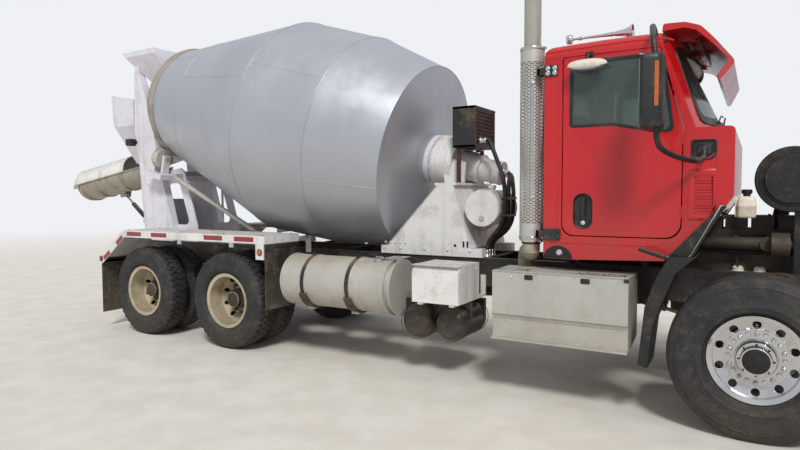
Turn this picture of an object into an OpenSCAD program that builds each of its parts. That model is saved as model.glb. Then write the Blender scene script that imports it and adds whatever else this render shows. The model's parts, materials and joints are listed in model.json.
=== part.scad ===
// Concrete mixer truck with three axles, a conventional cab and an inclined drum, in millimetres.
// X points forward, Y to the driver's left and Z up. The ground is at Z = 0.
// Modules are drawn with the front axle at X = 0, and placed() moves them to the truck's own origin.

/* [Axles and wheels] */
// Front axle ahead of the origin
front_axle_x = 3478; // [3200:10:3500]
// First drive axle behind the front axle
wheelbase = 4946; // [4880:2:5010]
// Second drive axle behind the first
tandem_gap = 1382; // [1345:1:1420]
// Front tyre radius
front_tyre_r = 560; // [548:1:568]
// Front tyre width
front_tyre_w = 410; // [395:1:420]
// Middle of a front tyre from the centre line
front_tyre_y = 1027; // [1020:1:1036]
// Drive tyre radius
twin_tyre_r = 526; // [515:1:536]
// Drive tyre width
twin_tyre_w = 270; // [258:1:280]
// Middle of a twin wheel, between its two tyres, from the centre line
twin_y = 913; // [905:1:920]
// Distance between the two tyres' middles in a twin wheel
twin_pitch = 330; // [322:1:338]
// Radius of every rim at its flange
rim_r = 298; // [294:1:302]
// Radius of the wheel studs' circle
stud_circle_r = 167; // [162:1:172]
// Kingpin from the centre line
kingpin_y = 880; // [872:1:886]

/* [Frame] */
// Width over the frame rails
frame_w = 860; // [850:1:870]
// Height of a frame rail
rail_h = 270; // [260:1:280]
// Width of a frame rail's flanges
rail_flange = 80; // [74:1:86]
// Thickness of the frame rails' steel
rail_t = 9; // [8:0.5:11]
// Top of the frame above the ground
rail_top_z = 1060; // [1052:1:1068]
// Front end of the rails ahead of the front axle
front_overhang = 1120; // [1100:1:1130]
// Rear end of the rails behind the second drive axle
rear_overhang = 960; // [940:1:980]
// Height of the bumper
bumper_h = 300; // [280:1:310]

/* [Cab] */
// Width over the cab's sides
cab_w = 2040; // [2020:1:2060]
// Rear wall of the cab behind the front axle
cab_rear = 1500; // [1494:1:1510]
// Highest point of the roof
cab_roof_z = 2862; // [2840:1:2880]
// Underside of the cab
cab_floor_z = 1153; // [1146:1:1160]
// Thickness of the cab's walls and doors
cab_wall = 45; // [38:1:52]
// Thickness of the cab's glass
glass_t = 6; // [5:0.5:8]
// Gap round a door
door_gap = 7; // [6:0.5:9]
// Lean of the windscreen from the vertical
screen_lean = 20; // [18:0.5:22]
// How far the windscreen bulges forward in the middle
screen_bulge = 155; // [140:1:165]
// Angle at which the hood stands open
hood_open = 75; // [70:1:78]
// Thickness of the hood's moulding
hood_wall = 9; // [7:0.5:12]

/* [Drum] */
// Lean of the drum's axis
drum_tilt = 12.95; // [12.6:0.05:13.3]
// Largest radius of the drum
drum_r = 1250; // [1235:1:1258]
// Radius of the front head's rim
head_r = 960; // [945:1:975]
// Radius of the drum's mouth
mouth_r = 650; // [635:1:658]
// Thickness of the drum's plate
drum_t = 8; // [6:0.5:11]
// Radius of the track ring that runs on the rollers
track_r = 760; // [752:1:770]
// Radius of a drum roller
roller_r = 130; // [120:1:138]
// Angle of a roller from straight below the drum
roller_angle = 32; // [30:0.5:34]

/* [Rear end] */
// Outer radius of both chutes
chute_r = 250; // [235:1:258]
// Thickness of the chutes' plate
chute_t = 8; // [6:0.5:10]
// Slope of the main chute as parked
chute_slope = 9; // [8:0.5:10]
// Length of the main chute behind its pivot
chute_len = 1520; // [1480:5:1560]
// Length of the fold-over chute
fold_len = 1230; // [1180:5:1240]

/* [Tanks and boxes] */
// Radius of the fuel tanks
fuel_tank_r = 258; // [245:1:262]
// Radius of the air tanks
air_tank_r = 158; // [148:1:160]
// Radius of the exhaust pipe
exhaust_r = 69; // [62:1:74]
// Radius of the exhaust's perforated guard
guard_r = 98; // [94:1:100]
// Top of the exhaust above the ground
exhaust_top_z = 3600; // [3500:5:3640]

/* [Hidden] */
$fn = 64;
// Running clearance of shafts and pins
fit = 0.3;
// Small overlap that lets a cut pass a face
cut = 1;

// Axle places
mid_x = -wheelbase;
rear_x = -wheelbase - tandem_gap;
bogie_x = (mid_x + rear_x) / 2;
rail_bottom_z = rail_top_z - rail_h;
rail_y = frame_w / 2;
rail_front_x = front_overhang;
rail_rear_x = rear_x - rear_overhang;

// Moves a piece from the front axle to the truck's own origin
module placed() translate([front_axle_x, 0, 0]) children();
// Draws a piece on the left and on the right
module both() {
  children();
  mirror([0, 1, 0]) children();
}
// Extrudes an outline drawn in X and Z from y0 to y1
module side(y0, y1) translate([0, y1, 0]) rotate([90, 0, 0]) linear_extrude(y1 - y0) children();
// Extrudes an outline drawn in Y and Z from x0 to x1
module front(x0, x1) translate([x0, 0, 0]) rotate([90, 0, 90]) linear_extrude(x1 - x0) children();
// Extrudes an outline drawn in X and Y from z0 to z1
module plan(z0, z1) translate([0, 0, z0]) linear_extrude(z1 - z0) children();
// An outline's right half, with the same half mirrored to the left
module both_y(half) {
  polygon(half);
  mirror([1, 0]) polygon(half);
}
module block(x0, x1, y0, y1, z0, z1) translate([x0, y0, z0]) cube([x1 - x0, y1 - y0, z1 - z0]);
module bar_x(r, x0, x1, y, z) translate([x0, y, z]) rotate([0, 90, 0]) cylinder(r = r, h = x1 - x0);
module bar_y(r, y0, y1, x, z) translate([x, y1, z]) rotate([90, 0, 0]) cylinder(r = r, h = y1 - y0);
module rod(p, q, r) translate(p)
  rotate([0, acos((q - p)[2] / norm(q - p)), atan2((q - p)[1], (q - p)[0])]) cylinder(r = r, h = norm(q - p));
// A tube swept along a route: each bend between two legs is a curve, and each ring has the same sides
tube_sides = 10;
function legs_mid(p, i) = (p[i] + p[i + 1]) / 2;
function bent(p, n = 4) = concat([p[0]], [for (i = [1:len(p) - 2], k = [0:n]) let(t = k / n, a = legs_mid(p, i - 1), b = legs_mid(p, i))
  (1 - t) * (1 - t) * a + 2 * t * (1 - t) * p[i] + t * t * b], [p[len(p) - 1]]);
function distinct(p) = [for (i = [0:len(p) - 1]) if (i == 0 || norm(p[i] - p[i - 1]) > 1) p[i]];
function heading(p, i) = unit(p[min(i + 1, len(p) - 1)] - p[max(i - 1, 0)]);
function tube_ring(c, t, ref, r) = let(u = unit(cross(t, ref)), v = cross(u, t))
  [for (k = [0:tube_sides - 1]) c + r * (u * cos(360 * k / tube_sides) + v * sin(360 * k / tube_sides))];
module tube(route, r, ref) {
  p = distinct(bent(route));
  m = tube_sides;
  last = len(p) - 1;
  polyhedron(
    points = [for (i = [0:last]) each tube_ring(p[i], heading(p, i), ref, r)],
    faces = concat([[for (k = [m - 1:-1:0]) k]], [[for (k = [0:m - 1]) last * m + k]],
      [for (i = [0:last - 1], k = [0:m - 1]) let(a = i * m + k, b = i * m + (k + 1) % m) each [[a, b, b + m], [a, b + m, a + m]]]));
}

// Outlines are lists of [x, y, corner radius], and rounded() turns them into points
function unit(v) = v / norm(v);
function wrap(a) = a > 180 ? a - 360 : a < -180 ? a + 360 : a;
function turn(c, p) = atan2((p - c)[1], (p - c)[0]);
function corner(p, q, s, r, n) = r <= 0 ? [q] :
  let(u = unit(p - q), v = unit(s - q), h = acos(u * v) / 2, c = q + unit(u + v) * r / sin(h),
      a = turn(c, q + u * r / tan(h)), d = wrap(turn(c, q + v * r / tan(h)) - a))
  [for (i = [0:n]) c + r * [cos(a + d * i / n), sin(a + d * i / n)]];
function xy(p) = [p[0], p[1]];
function rounded(pts, n = 6) = [for (i = [0:len(pts) - 1])
  each corner(xy(pts[(i + len(pts) - 1) % len(pts)]), xy(pts[i]), xy(pts[(i + 1) % len(pts)]), pts[i][2], n)];

// Frame
cross_xs = [1040, -1500, -2300, -3120, -4150, bogie_x, rail_rear_x + 120];
module rail() difference() {
  block(rail_rear_x, rail_front_x, rail_y - rail_flange, rail_y, rail_bottom_z, rail_top_z);
  block(rail_rear_x - cut, rail_front_x + cut, rail_y - rail_flange - cut, rail_y - rail_t,
    rail_bottom_z + rail_t, rail_top_z - rail_t);
}
cross_h = 150;
cross_flange = 60;
cross_top_z = rail_top_z - rail_t - fit;
// Inner face of a rail's web, where the cross members are bolted
web_y = rail_y - rail_t - fit;
module cross_member(x) difference() {
  block(x, x + cross_flange, -web_y, web_y, cross_top_z - cross_h, cross_top_z);
  block(x + rail_t, x + cross_flange + cut, -rail_y, rail_y, cross_top_z - cross_h + rail_t, cross_top_z - rail_t);
}
tow_r = 22;
tow_z = rail_bottom_z + 90;
tow_reach = 130;
module tow_eye() difference() {
  union() {
    block(rail_rear_x - rail_t, rail_rear_x - fit, -rail_y, rail_y, rail_bottom_z, rail_top_z);
    block(rail_rear_x - tow_reach, rail_rear_x - fit, -45, 45, tow_z - 25, tow_z + 25);
  }
  translate([rail_rear_x - tow_reach + 45, 0, tow_z - 26]) cylinder(r = tow_r, h = 52);
}
// Rubber mounts that carry the cab on the rails
mount_xs = [-1440, -820];
function cab_bottom(x) = cab_floor_z + max(0, x + 1261) * 23 / 669;
module cab_mounts() both() for (x = mount_xs)
  translate([x, rail_y - rail_flange / 2, rail_top_z]) cylinder(r = 38, h = cab_bottom(x - 38) - fit - rail_top_z);
module frame_rails() color("#232325") {
  both() rail();
  cab_mounts();
  for (x = cross_xs) cross_member(x);
  tow_eye();
}

// Front axle: the beam, its leaf springs, their hangers and the shock absorbers
hub_z = front_tyre_r;
beam_half = 45;
eye_half = 45;
pin_r = 25;
spring_y = rail_y - 35;
spring_w = 80;
leaf_t = 14;
leaves = 4;
spring_span = 700;
spring_sag = 105;
spring_seat_z = hub_z - 35;
spring_base_z = spring_seat_z + 55;
spring_arc_r = (spring_span * spring_span + spring_sag * spring_sag) / (2 * spring_sag);
eye_z = spring_base_z + leaves * leaf_t + spring_sag;
module leaf(k) intersection() {
  translate([0, spring_base_z + leaves * leaf_t + spring_arc_r]) difference() {
    circle(r = spring_arc_r + k * leaf_t + leaf_t, $fn = 180);
    circle(r = spring_arc_r + k * leaf_t, $fn = 180);
  }
  translate([-spring_span + k * 130, 0]) square([2 * (spring_span - k * 130), rail_bottom_z]);
}
module front_spring() {
  side(spring_y - spring_w / 2, spring_y + spring_w / 2) for (k = [0:leaves - 1]) leaf(k);
  block(-90, 90, spring_y - spring_w / 2, spring_y + spring_w / 2, spring_seat_z, spring_base_z);
  for (x = [-spring_span, spring_span]) {
    bar_y(28, spring_y - spring_w / 2, spring_y + spring_w / 2, x, eye_z - 14);
    block(x - 45, x + 45, spring_y - spring_w / 2, spring_y + spring_w / 2, eye_z - 14, rail_bottom_z);
  }
  rod([100, rail_y + 45, spring_seat_z + 12], [70, rail_y + 45, rail_top_z - 90], 30);
  bar_y(20, rail_y, rail_y + 50, 72, rail_top_z - 122);
  block(-30, 150, spring_y, rail_y + 85, spring_seat_z, spring_seat_z + 24);
}
module front_axle() color("#2b2b2d") {
  difference() {
    union() {
      front(-beam_half, beam_half) polygon([[-848, hub_z + 38], [-720, hub_z - 35], [720, hub_z - 35],
        [848, hub_z + 38], [848, hub_z - 38], [808, hub_z - 38], [700, hub_z - 125], [-700, hub_z - 125],
        [-808, hub_z - 38], [-848, hub_z - 38]]);
      both() translate([0, kingpin_y, hub_z - eye_half]) cylinder(r = 50, h = 2 * eye_half);
    }
    both() translate([0, kingpin_y, hub_z - 100]) cylinder(r = pin_r + fit, h = 200);
    for (s = [-1, 1]) translate([s * (beam_half + 14), 0, 0])
      block(-beam_half, beam_half, -640, 640, hub_z - 108, hub_z - 52);
  }
  both() front_spring();
}

// Steering knuckles: fork, kingpin, spindle and steering arm, drawn on the left
arm_len = 170;
arm_drop = 60;
spindle_r = 38;
hub_inner_y = front_tyre_y - 40;
module knuckle() color("#343436") {
  translate([0, kingpin_y, hub_z - 108]) cylinder(r = pin_r, h = 216);
  for (s = [-1, 1]) translate([0, kingpin_y, hub_z + s * 78 - 30]) cylinder(r = 55, h = 60);
  block(-50, 50, kingpin_y + 58, kingpin_y + 88, hub_z - 108, hub_z + 108);
  for (s = [-1, 1]) block(-50, 50, kingpin_y, kingpin_y + 60, hub_z + s * 78 - 30, hub_z + s * 78 + 30);
  bar_y(spindle_r, kingpin_y + 80, front_tyre_y + 80, 0, hub_z);
  block(-arm_len, 0, kingpin_y - 22, kingpin_y + 22, hub_z - 108, hub_z - 84);
  translate([-arm_len, kingpin_y, hub_z - 108]) cylinder(r = 30, h = 24);
  translate([-arm_len, kingpin_y, hub_z - 108 - 70]) cylinder(r = 12, h = 80);
}
module tie_rod() color("#3a3a3c") {
  rod_z = hub_z - 108 - 40;
  difference() {
    union() {
      bar_y(18, -kingpin_y, kingpin_y, -arm_len, rod_z);
      both() translate([-arm_len, kingpin_y, rod_z - 20]) cylinder(r = 24, h = 40);
    }
    both() translate([-arm_len, kingpin_y, rod_z - 40]) cylinder(r = 12 + fit, h = 80);
  }
}

// Wheels are drawn at the origin with local Z pointing away from the truck
tyre_bead_r = rim_r - 12;
module tyre(r, w, rim_w) rotate_extrude($fn = 120) polygon(rounded([
  [tyre_bead_r + fit, -rim_w / 2 + 14 + fit, 0], [rim_r + fit, -rim_w / 2 + 14 + fit, 0], [rim_r + 30, -w / 2 + 10, 40],
  [(r + rim_r) / 2, -w / 2, 90], [r - 14, -w / 2 + 34, 34], [r, -w / 2 + 90, 60],
  [r, w / 2 - 90, 60], [r - 14, w / 2 - 34, 34], [(r + rim_r) / 2, w / 2, 90],
  [rim_r + 30, w / 2 - 10, 40],
  [rim_r + fit, rim_w / 2 - 14 - fit, 0], [tyre_bead_r + fit, rim_w / 2 - 14 - fit, 0]], 5));
// One rim with its disc: rim_w is its width, disc_z the disc's place and dish the disc's depth
module rim(rim_w, disc_z, dish, holes_r) difference() {
  union() {
    rotate_extrude($fn = 120) polygon([[rim_r - 36, -rim_w / 2 + 10], [rim_r, -rim_w / 2], [rim_r, -rim_w / 2 + 14],
      [tyre_bead_r, -rim_w / 2 + 14], [tyre_bead_r - 8, -40], [tyre_bead_r - 8, 40],
      [tyre_bead_r, rim_w / 2 - 14], [rim_r, rim_w / 2 - 14], [rim_r, rim_w / 2], [rim_r - 36, rim_w / 2 - 10]]);
    rotate_extrude($fn = 120) polygon([[70, disc_z - 8], [stud_circle_r + 34, disc_z - 8],
      [rim_r - 30, disc_z + dish - 8], [rim_r - 30, disc_z + dish + 8], [stud_circle_r + 30, disc_z + 8],
      [70, disc_z + 8]]);
  }
  for (a = [18:36:342]) rotate(a) translate([(stud_circle_r + rim_r) / 2 - 2, 0, disc_z - 60]) cylinder(r = holes_r, h = 130);
}
module studs(z, h) for (a = [0:36:324]) rotate(a) translate([stud_circle_r, 0, z]) cylinder(r = 17, h = h, $fn = 6);
front_rim_w = 320;
twin_rim_w = 215;
module front_wheel() {
  difference() {
    union() {
      rim(front_rim_w, 84, 22, 27);
      studs(86, 34);
      translate([0, 0, -40]) cylinder(r = 118, h = 190);
      translate([0, 0, 148]) cylinder(r = 92, h = 44);
      translate([0, 0, -92]) difference() {
        cylinder(r = 208, h = 160);
        translate([0, 0, -cut]) cylinder(r = 196, h = 140);
      }
    }
    translate([0, 0, -41]) cylinder(r = spindle_r + fit, h = 122);
  }
}
twin_dish = 78;
axle_r = 70;
stub_r = 45;
module twin_wheel() difference() {
  union() {
    translate([0, 0, twin_pitch / 2]) rim(twin_rim_w, -twin_pitch / 2 + 8, twin_dish, 24);
    mirror([0, 0, 1]) translate([0, 0, twin_pitch / 2]) rim(twin_rim_w, -twin_pitch / 2 + 8, twin_dish, 24);
    studs(14, 34);
    translate([0, 0, -150]) cylinder(r = 108, h = 262);
    translate([0, 0, 110]) cylinder(r = 84, h = 66);
    translate([0, 0, -250]) difference() {
      cylinder(r = 208, h = 236);
      translate([0, 0, -cut]) cylinder(r = 196, h = 216);
    }
  }
  translate([0, 0, -151]) cylinder(r = stub_r + fit, h = 112);
}
module twin_tyres() for (z = [-twin_pitch / 2, twin_pitch / 2]) translate([0, 0, z])
  tyre(twin_tyre_r, twin_tyre_w, twin_rim_w);
// Puts a wheel on the left (side_sign 1) or on the right (side_sign -1) of an axle
module on_axle(x, y, z, side_sign) translate([x, side_sign * y, z]) rotate([-90 * side_sign, 0, 0]) children();
module front_rim(s) color("#c9cbcd") on_axle(0, front_tyre_y, front_tyre_r, s) front_wheel();
module front_tyre(s) color("#242322") on_axle(0, front_tyre_y, front_tyre_r, s) tyre(front_tyre_r, front_tyre_w, front_rim_w);
module twin_rims(x, s) color("#b9ac90") on_axle(x, twin_y, twin_tyre_r, s) twin_wheel();
module twin_tyre_pair(x, s) color("#242322") on_axle(x, twin_y, twin_tyre_r, s) twin_tyres();

// Drive axles with their differentials, and the propeller shafts
diff_r = 215;
shaft_r = 52;
gearbox_rear_x = -1390;
gearbox_out_z = 720;
module drive_axle(x) {
  bar_y(axle_r, -twin_y + 265, twin_y - 265, x, twin_tyre_r);
  both() bar_y(stub_r, twin_y - 270, twin_y - 45, x, twin_tyre_r);
  both() bar_y(150, twin_y - 262, twin_y - 246, x, twin_tyre_r);
  translate([x, 0, twin_tyre_r]) rotate([0, 90, 0]) cylinder(r1 = diff_r, r2 = diff_r * 0.45, h = 260);
  translate([x, 0, twin_tyre_r]) rotate([0, -90, 0]) cylinder(r1 = diff_r, r2 = diff_r * 0.7, h = 110);
  bar_x(75, x + 250, x + 330, 0, twin_tyre_r + 40);
}
module drive_axles() color("#2b2b2d") {
  drive_axle(mid_x);
  drive_axle(rear_x);
  rod([mid_x + 325, 0, twin_tyre_r + 40], [gearbox_rear_x - 60, 0, gearbox_out_z], shaft_r);
  rod([rear_x + 325, 0, twin_tyre_r + 40], [mid_x - 100, 0, twin_tyre_r + 40], shaft_r - 8);
  bar_x(80, gearbox_rear_x - 75, gearbox_rear_x - fit, 0, gearbox_out_z);
}

// Walking beams that tie the two drive axles, with their saddles on the frame
beam_y = 520;
beam_w = 78;
beam_top_z = twin_tyre_r + 115;
module walking_beam() {
  side(beam_y - beam_w / 2, beam_y + beam_w / 2) difference() {
    polygon(rounded([[rear_x - 90, twin_tyre_r - 60, 40], [rear_x - 90, beam_top_z - 20, 40],
      [bogie_x, beam_top_z + 60, 120], [mid_x + 90, beam_top_z - 20, 40], [mid_x + 90, twin_tyre_r - 60, 40],
      [bogie_x, twin_tyre_r - 120, 160]]));
    for (x = [rear_x, mid_x]) translate([x, twin_tyre_r]) circle(r = axle_r + fit);
  }
  side(rail_y, rail_y + 26) polygon([[bogie_x - 330, rail_top_z - 40], [bogie_x + 330, rail_top_z - 40],
    [bogie_x + 120, twin_tyre_r - 110], [bogie_x - 120, twin_tyre_r - 110]]);
  bar_y(62, rail_y, beam_y + beam_w / 2 + 14, bogie_x, twin_tyre_r + 20);
}
module rear_suspension() color("#2f2f31") {
  both() walking_beam();
  bar_y(30, -rail_y, rail_y, bogie_x, twin_tyre_r - 75);
}

// Engine with its gearbox, open to view under the raised hood
engine_y = 270;
engine_front_x = 560;
engine_rear_x = -700;
crank_z = 880;
intake_r = 58;
intake_z = crank_z + 440;
cylinders = 6;
cylinder_pitch = (engine_front_x - engine_rear_x - 160) / cylinders;
fan_x = engine_front_x + 118;
fan_z = crank_z + 270;
fan_shaft_r = 28;
fan_bore = 40;
module engine() color("#4a4238") {
  block(engine_rear_x, engine_front_x, -engine_y, engine_y, crank_z - 60, crank_z + 360);
  front(engine_rear_x + 60, engine_front_x - 60) polygon([[-engine_y + 50, crank_z - 60], [engine_y - 50, crank_z - 60],
    [engine_y - 110, crank_z - 230], [-engine_y + 110, crank_z - 230]]);
  block(engine_rear_x + 30, engine_front_x - 30, -engine_y + 60, engine_y - 102, crank_z + 360, crank_z + 500);
  for (i = [0:cylinders - 1]) translate([engine_rear_x + 80 + cylinder_pitch * i, 0, 0])
    block(12, cylinder_pitch - 12, -engine_y + 90, engine_y - 120, crank_z + 500, crank_z + 610);
  for (i = [0:cylinders - 1]) rod([engine_rear_x + 80 + cylinder_pitch * (i + 0.5), -engine_y + 70, crank_z + 430],
    [engine_rear_x + 80 + cylinder_pitch * (i + 0.5), -engine_y - 75, crank_z + 400], 36);
  bar_x(48, engine_rear_x + 100, engine_front_x - 100, -engine_y - 85, crank_z + 400);
  bar_x(intake_r, engine_rear_x + 100, engine_front_x - 60, engine_y - 40, intake_z);
  translate([80, -engine_y - 150, crank_z + 400]) rotate([0, 90, 0]) cylinder(r = 92, h = 120);
  bar_y(55, -engine_y - 150, -engine_y - 60, 60, crank_z + 400);
  bar_x(72, engine_front_x - 330, engine_front_x - 90, engine_y + 62, crank_z + 262);
  for (p = [[0, 0, 105], [170, 250, 70], [-150, 300, 60], [0, 270, 78]])
    bar_x(p[2], engine_front_x, engine_front_x + 55, p[0], crank_z + p[1]);
  bar_x(fan_shaft_r, engine_front_x + 50, fan_x + fan_bore - fit, 0, fan_z);
  translate([engine_rear_x, 0, crank_z]) rotate([0, -90, 0]) cylinder(r1 = 255, r2 = 205, h = 200);
  front(engine_rear_x - 640, engine_rear_x - 190) polygon(rounded([[-170, crank_z + 130, 40], [170, crank_z + 130, 40],
    [190, crank_z - 190, 60], [-190, crank_z - 190, 60]]));
  bar_x(70, gearbox_rear_x, engine_rear_x - 600, 0, gearbox_out_z);
  both() block(engine_front_x - 160, engine_front_x - 60, engine_y - 20, rail_y - rail_t, crank_z - 50, crank_z - 20);
  both() block(engine_rear_x - 90, engine_rear_x - 20, 150, rail_y - rail_t, crank_z - 40, crank_z - 10);
}

// Radiator with its shroud and the fan in front of the engine
fan_r = 300;
radiator_x = 850;
radiator_y = 440;
shroud_y = rail_y - rail_flange - 5;
module radiator() color("#1f2021") {
  difference() {
    union() {
      block(radiator_x, radiator_x + 110, -radiator_y, radiator_y, rail_top_z + 10, 1700);
      block(radiator_x, radiator_x + 110, -shroud_y, shroud_y, rail_top_z - 200, rail_top_z + 10);
      block(radiator_x - 60, radiator_x, -shroud_y, shroud_y, fan_z - shroud_y, fan_z + shroud_y);
    }
    bar_x(fan_r + 18, radiator_x - 70, radiator_x - 8, 0, fan_z);
    front(radiator_x + 96, radiator_x + 110 + cut) both_y([[0, rail_top_z - 160], [shroud_y - 24, rail_top_z - 160],
      [shroud_y - 24, rail_top_z + 50], [radiator_y - 36, rail_top_z + 50], [radiator_y - 36, 1640], [0, 1640]]);
  }
  both() rod([radiator_x + 40, 200, 1690], [engine_front_x - 100, 130, crank_z + 626], 16);
  block(radiator_x + 20, radiator_x + 90, -rail_y + rail_t, rail_y - rail_t, rail_bottom_z + 20, rail_top_z - 200);
}
blades = 8;
module fan() color("#101010") translate([fan_x, 0, fan_z]) rotate([0, 90, 0]) {
  difference() {
    cylinder(r = 85, h = 70);
    translate([0, 0, -cut]) cylinder(r = fan_shaft_r + fit, h = fan_bore + cut);
  }
  for (a = [0:360 / blades:359]) rotate(a) translate([70, 0, 36]) rotate([32, 0, 0])
    translate([0, -55, -4]) cube([fan_r - 76, 110, 8]);
}
cleaner_r = 238;
cleaner_x = 205;
cleaner_z = 1775;
duct_y = 230;
module air_cleaner() color("#1a1b1c") {
  bar_y(cleaner_r, -490, -20, cleaner_x, cleaner_z);
  bar_y(cleaner_r + 8, -440, -420, cleaner_x, cleaner_z);
  bar_y(cleaner_r - 60, -512, -490, cleaner_x, cleaner_z);
  bar_y(80, -20, 120, cleaner_x, cleaner_z);
  bar_y(66, 119, duct_y + 66, cleaner_x, cleaner_z);
  rod([cleaner_x, duct_y, cleaner_z - 8], [cleaner_x - 60, duct_y, intake_z + intake_r + 60], 58);
  translate([cleaner_x - 60, duct_y, intake_z + intake_r + fit]) cylinder(r = 58, h = 90);
  block(cleaner_x + 20, cleaner_x + 120, -rail_y + 10, -360, crank_z + 500, cleaner_z - cleaner_r + 30);
  block(cleaner_x + 20, cleaner_x + 120, -rail_y + 10, -rail_y + 22, rail_top_z, crank_z + 520);
}
coolant_y = -cab_w / 2 + 268;
module coolant_tank() color("#e4dfd0") {
  block(cowl_x + 8, cowl_x + 137, coolant_y - 63, coolant_y + 62, 1495, 1650);
  block(cowl_x + fit, cowl_x + 12, coolant_y - 28, coolant_y + 32, 1600, 1700);
  translate([cowl_x + 67, coolant_y, 1650]) cylinder(r = 34, h = 38);
}

// Bumper with swept ends, on brackets at the rails' tips
bumper_x = 1180;
bumper_z = 300;
hinge = [1150, 700];
hinge_r = 12;
hinge_y = 328;
module bumper() color("#b8babc") {
  difference() {
    plan(bumper_z, bumper_z + bumper_h) polygon(rounded([[bumper_x, -800, 0], [bumper_x - 130, -1165, 20],
      [bumper_x - 50, -1190, 30], [bumper_x + 90, -830, 60], [bumper_x + 90, 830, 60], [bumper_x - 50, 1190, 30],
      [bumper_x - 130, 1165, 20], [bumper_x, 800, 0]]));
    plan(bumper_z + 12, bumper_z + bumper_h - 12) polygon([[bumper_x - 10, -790], [bumper_x - 150, -1160],
      [bumper_x - 60, -1180], [bumper_x + 76, -822], [bumper_x + 76, 822], [bumper_x - 60, 1180],
      [bumper_x - 150, 1160], [bumper_x - 10, 790]]);
  }
  both() difference() {
    union() {
      side(rail_y, rail_y + 14) polygon([[1000, rail_top_z - 30], [1110, rail_top_z - 30], [1160, 790], [1185, 650],
        [bumper_x + 80, bumper_z + bumper_h - 20], [bumper_x + 80, bumper_z + 20], [bumper_x - 60, bumper_z + 20],
        [1000, rail_bottom_z - 60]]);
      bar_y(hinge_r, hinge_y - 12, rail_y + 5, hinge[0], hinge[1]);
    }
    bar_y(tow_r, rail_y - 10, rail_y + 30, bumper_x - 50, hinge[1] - 50);
  }
}

// Cab, cut from one block: the side outline, the section and the curved windscreen
cowl_x = -157;
cowl_z = 2130;
screen_foot = [-246, 2161];
roof_front_x = -500;
function cab_outline(d) = [
  [-cab_rear + d, cab_floor_z, 20], [-cab_rear + d, cab_roof_z - 30 - d, 70], [-900, cab_roof_z - d, 200],
  [roof_front_x - 40 - d, cab_roof_z - 22 - d, 80], [roof_front_x + 30 - d, cab_roof_z - 110, 20],
  [screen_foot[0] - d, screen_foot[1], 0], [cowl_x - d, cowl_z - d, 30], [cowl_x - d, 1654, 0],
  [-411 - d, 1267, 40], [-572, 1222 + (d > 0 ? 110 : 0), 20], [-592, 1176 + (d > 0 ? 156 : 0), 0],
  [-1261, cab_floor_z + (d > 0 ? 180 : 0), 0]];
function inner_outline(d) = [
  [-cab_rear + d, cab_floor_z + 180, 0], [-cab_rear + d, cab_roof_z - 30 - d, 40], [-900, cab_roof_z - d, 200],
  [roof_front_x - 60 - d, cab_roof_z - 22 - d, 60], [roof_front_x - 10 - d, cab_roof_z - 130, 20],
  [screen_foot[0] - 1.2 * d, screen_foot[1], 0], [cowl_x - d, cowl_z - 1.4 * d, 0], [cowl_x - d, 1660, 0],
  [-411 - d, cab_floor_z + 180, 40]];
function cab_section(d) = [
  [-cab_w / 2 + d, 1100, 0], [cab_w / 2 - d, 1100, 0], [cab_w / 2 - d, cab_roof_z - d, 120 - d * 0.6],
  [-cab_w / 2 + d, cab_roof_z - d, 120 - d * 0.6]];
screen_r = (cab_w * cab_w / 4 + screen_bulge * screen_bulge) / (2 * screen_bulge);
module screen_form(d) translate([screen_foot[0], 0, screen_foot[1]]) rotate([0, -screen_lean, 0])
  translate([-screen_r, 0, -2500]) cylinder(r = screen_r - d, h = 5000, $fn = 400);
module cab_block(d) intersection() {
  side(-cab_w / 2 + d, cab_w / 2 - d) polygon(rounded(d > 0 ? inner_outline(d) : cab_outline(0)));
  front(-cab_rear - 100, 100) polygon(rounded(cab_section(d), 8));
}
module cab_form(d) intersection() {
  cab_block(d);
  union() {
    screen_form(d);
    block(-cab_rear - 100, 0, -cab_w, cab_w, 1000, screen_foot[1] - 20);
  }
}
// Tunnel over the engine and the gearbox
tunnel_half = 420;
tunnel_rear_x = -770;
tunnel_top_z = 1540;
module tunnel(d) block(tunnel_rear_x - d, 100, -tunnel_half - d, tunnel_half + d, 1000, tunnel_top_z + d);
module cab_skin() difference() {
  cab_form(0);
  tunnel(0);
  difference() {
    cab_form(cab_wall);
    tunnel(cab_wall);
  }
}
// The doors' part of the skin, which ends behind the windscreen's curve
module side_skin() difference() {
  cab_block(0);
  cab_block(cab_wall);
}
door_rear_x = -1350;
door_front_x = -490;
door_bottom_z = 1345;
door_top_z = 2735;
// Heights of the hinge knuckles that stand in the gap at the door's front edge
knuckle_zs = [1490, 2020];
function door_outline(e) = [[door_rear_x - e, door_bottom_z - e, 90], [door_rear_x - e, door_top_z + e, 30],
  [-652 + e, door_top_z + e, 30], [door_front_x + e, 2150, 30], [door_front_x + e, door_bottom_z - e, 110]];
function window_outline(e) = [[-1288 + e, 2199 + e, 30], [-1288 + e, 2688 - e, 40], [-632 - e, 2688 - e, 40],
  [-554 - e, 2128 + e, 40], [-684, 2132 + e, 60], [-965, 2199 + e, 60]];
function screen_outline(e) = [[-870 + e, 2225 + e, 60], [870 - e, 2225 + e, 60], [800 - e, 2735 - e, 90],
  [-800 + e, 2735 - e, 90]];
rear_window_half = 460;
module screen_cut(e) front(-800, 0) polygon(rounded(screen_outline(e)));
module rear_window_cut(e) front(-cab_rear - 50, -cab_rear + 100) polygon(rounded([
  [-rear_window_half + e, 2160 + e, 50], [rear_window_half - e, 2160 + e, 50],
  [rear_window_half - e, 2600 - e, 50], [-rear_window_half + e, 2600 - e, 50]]));
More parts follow.
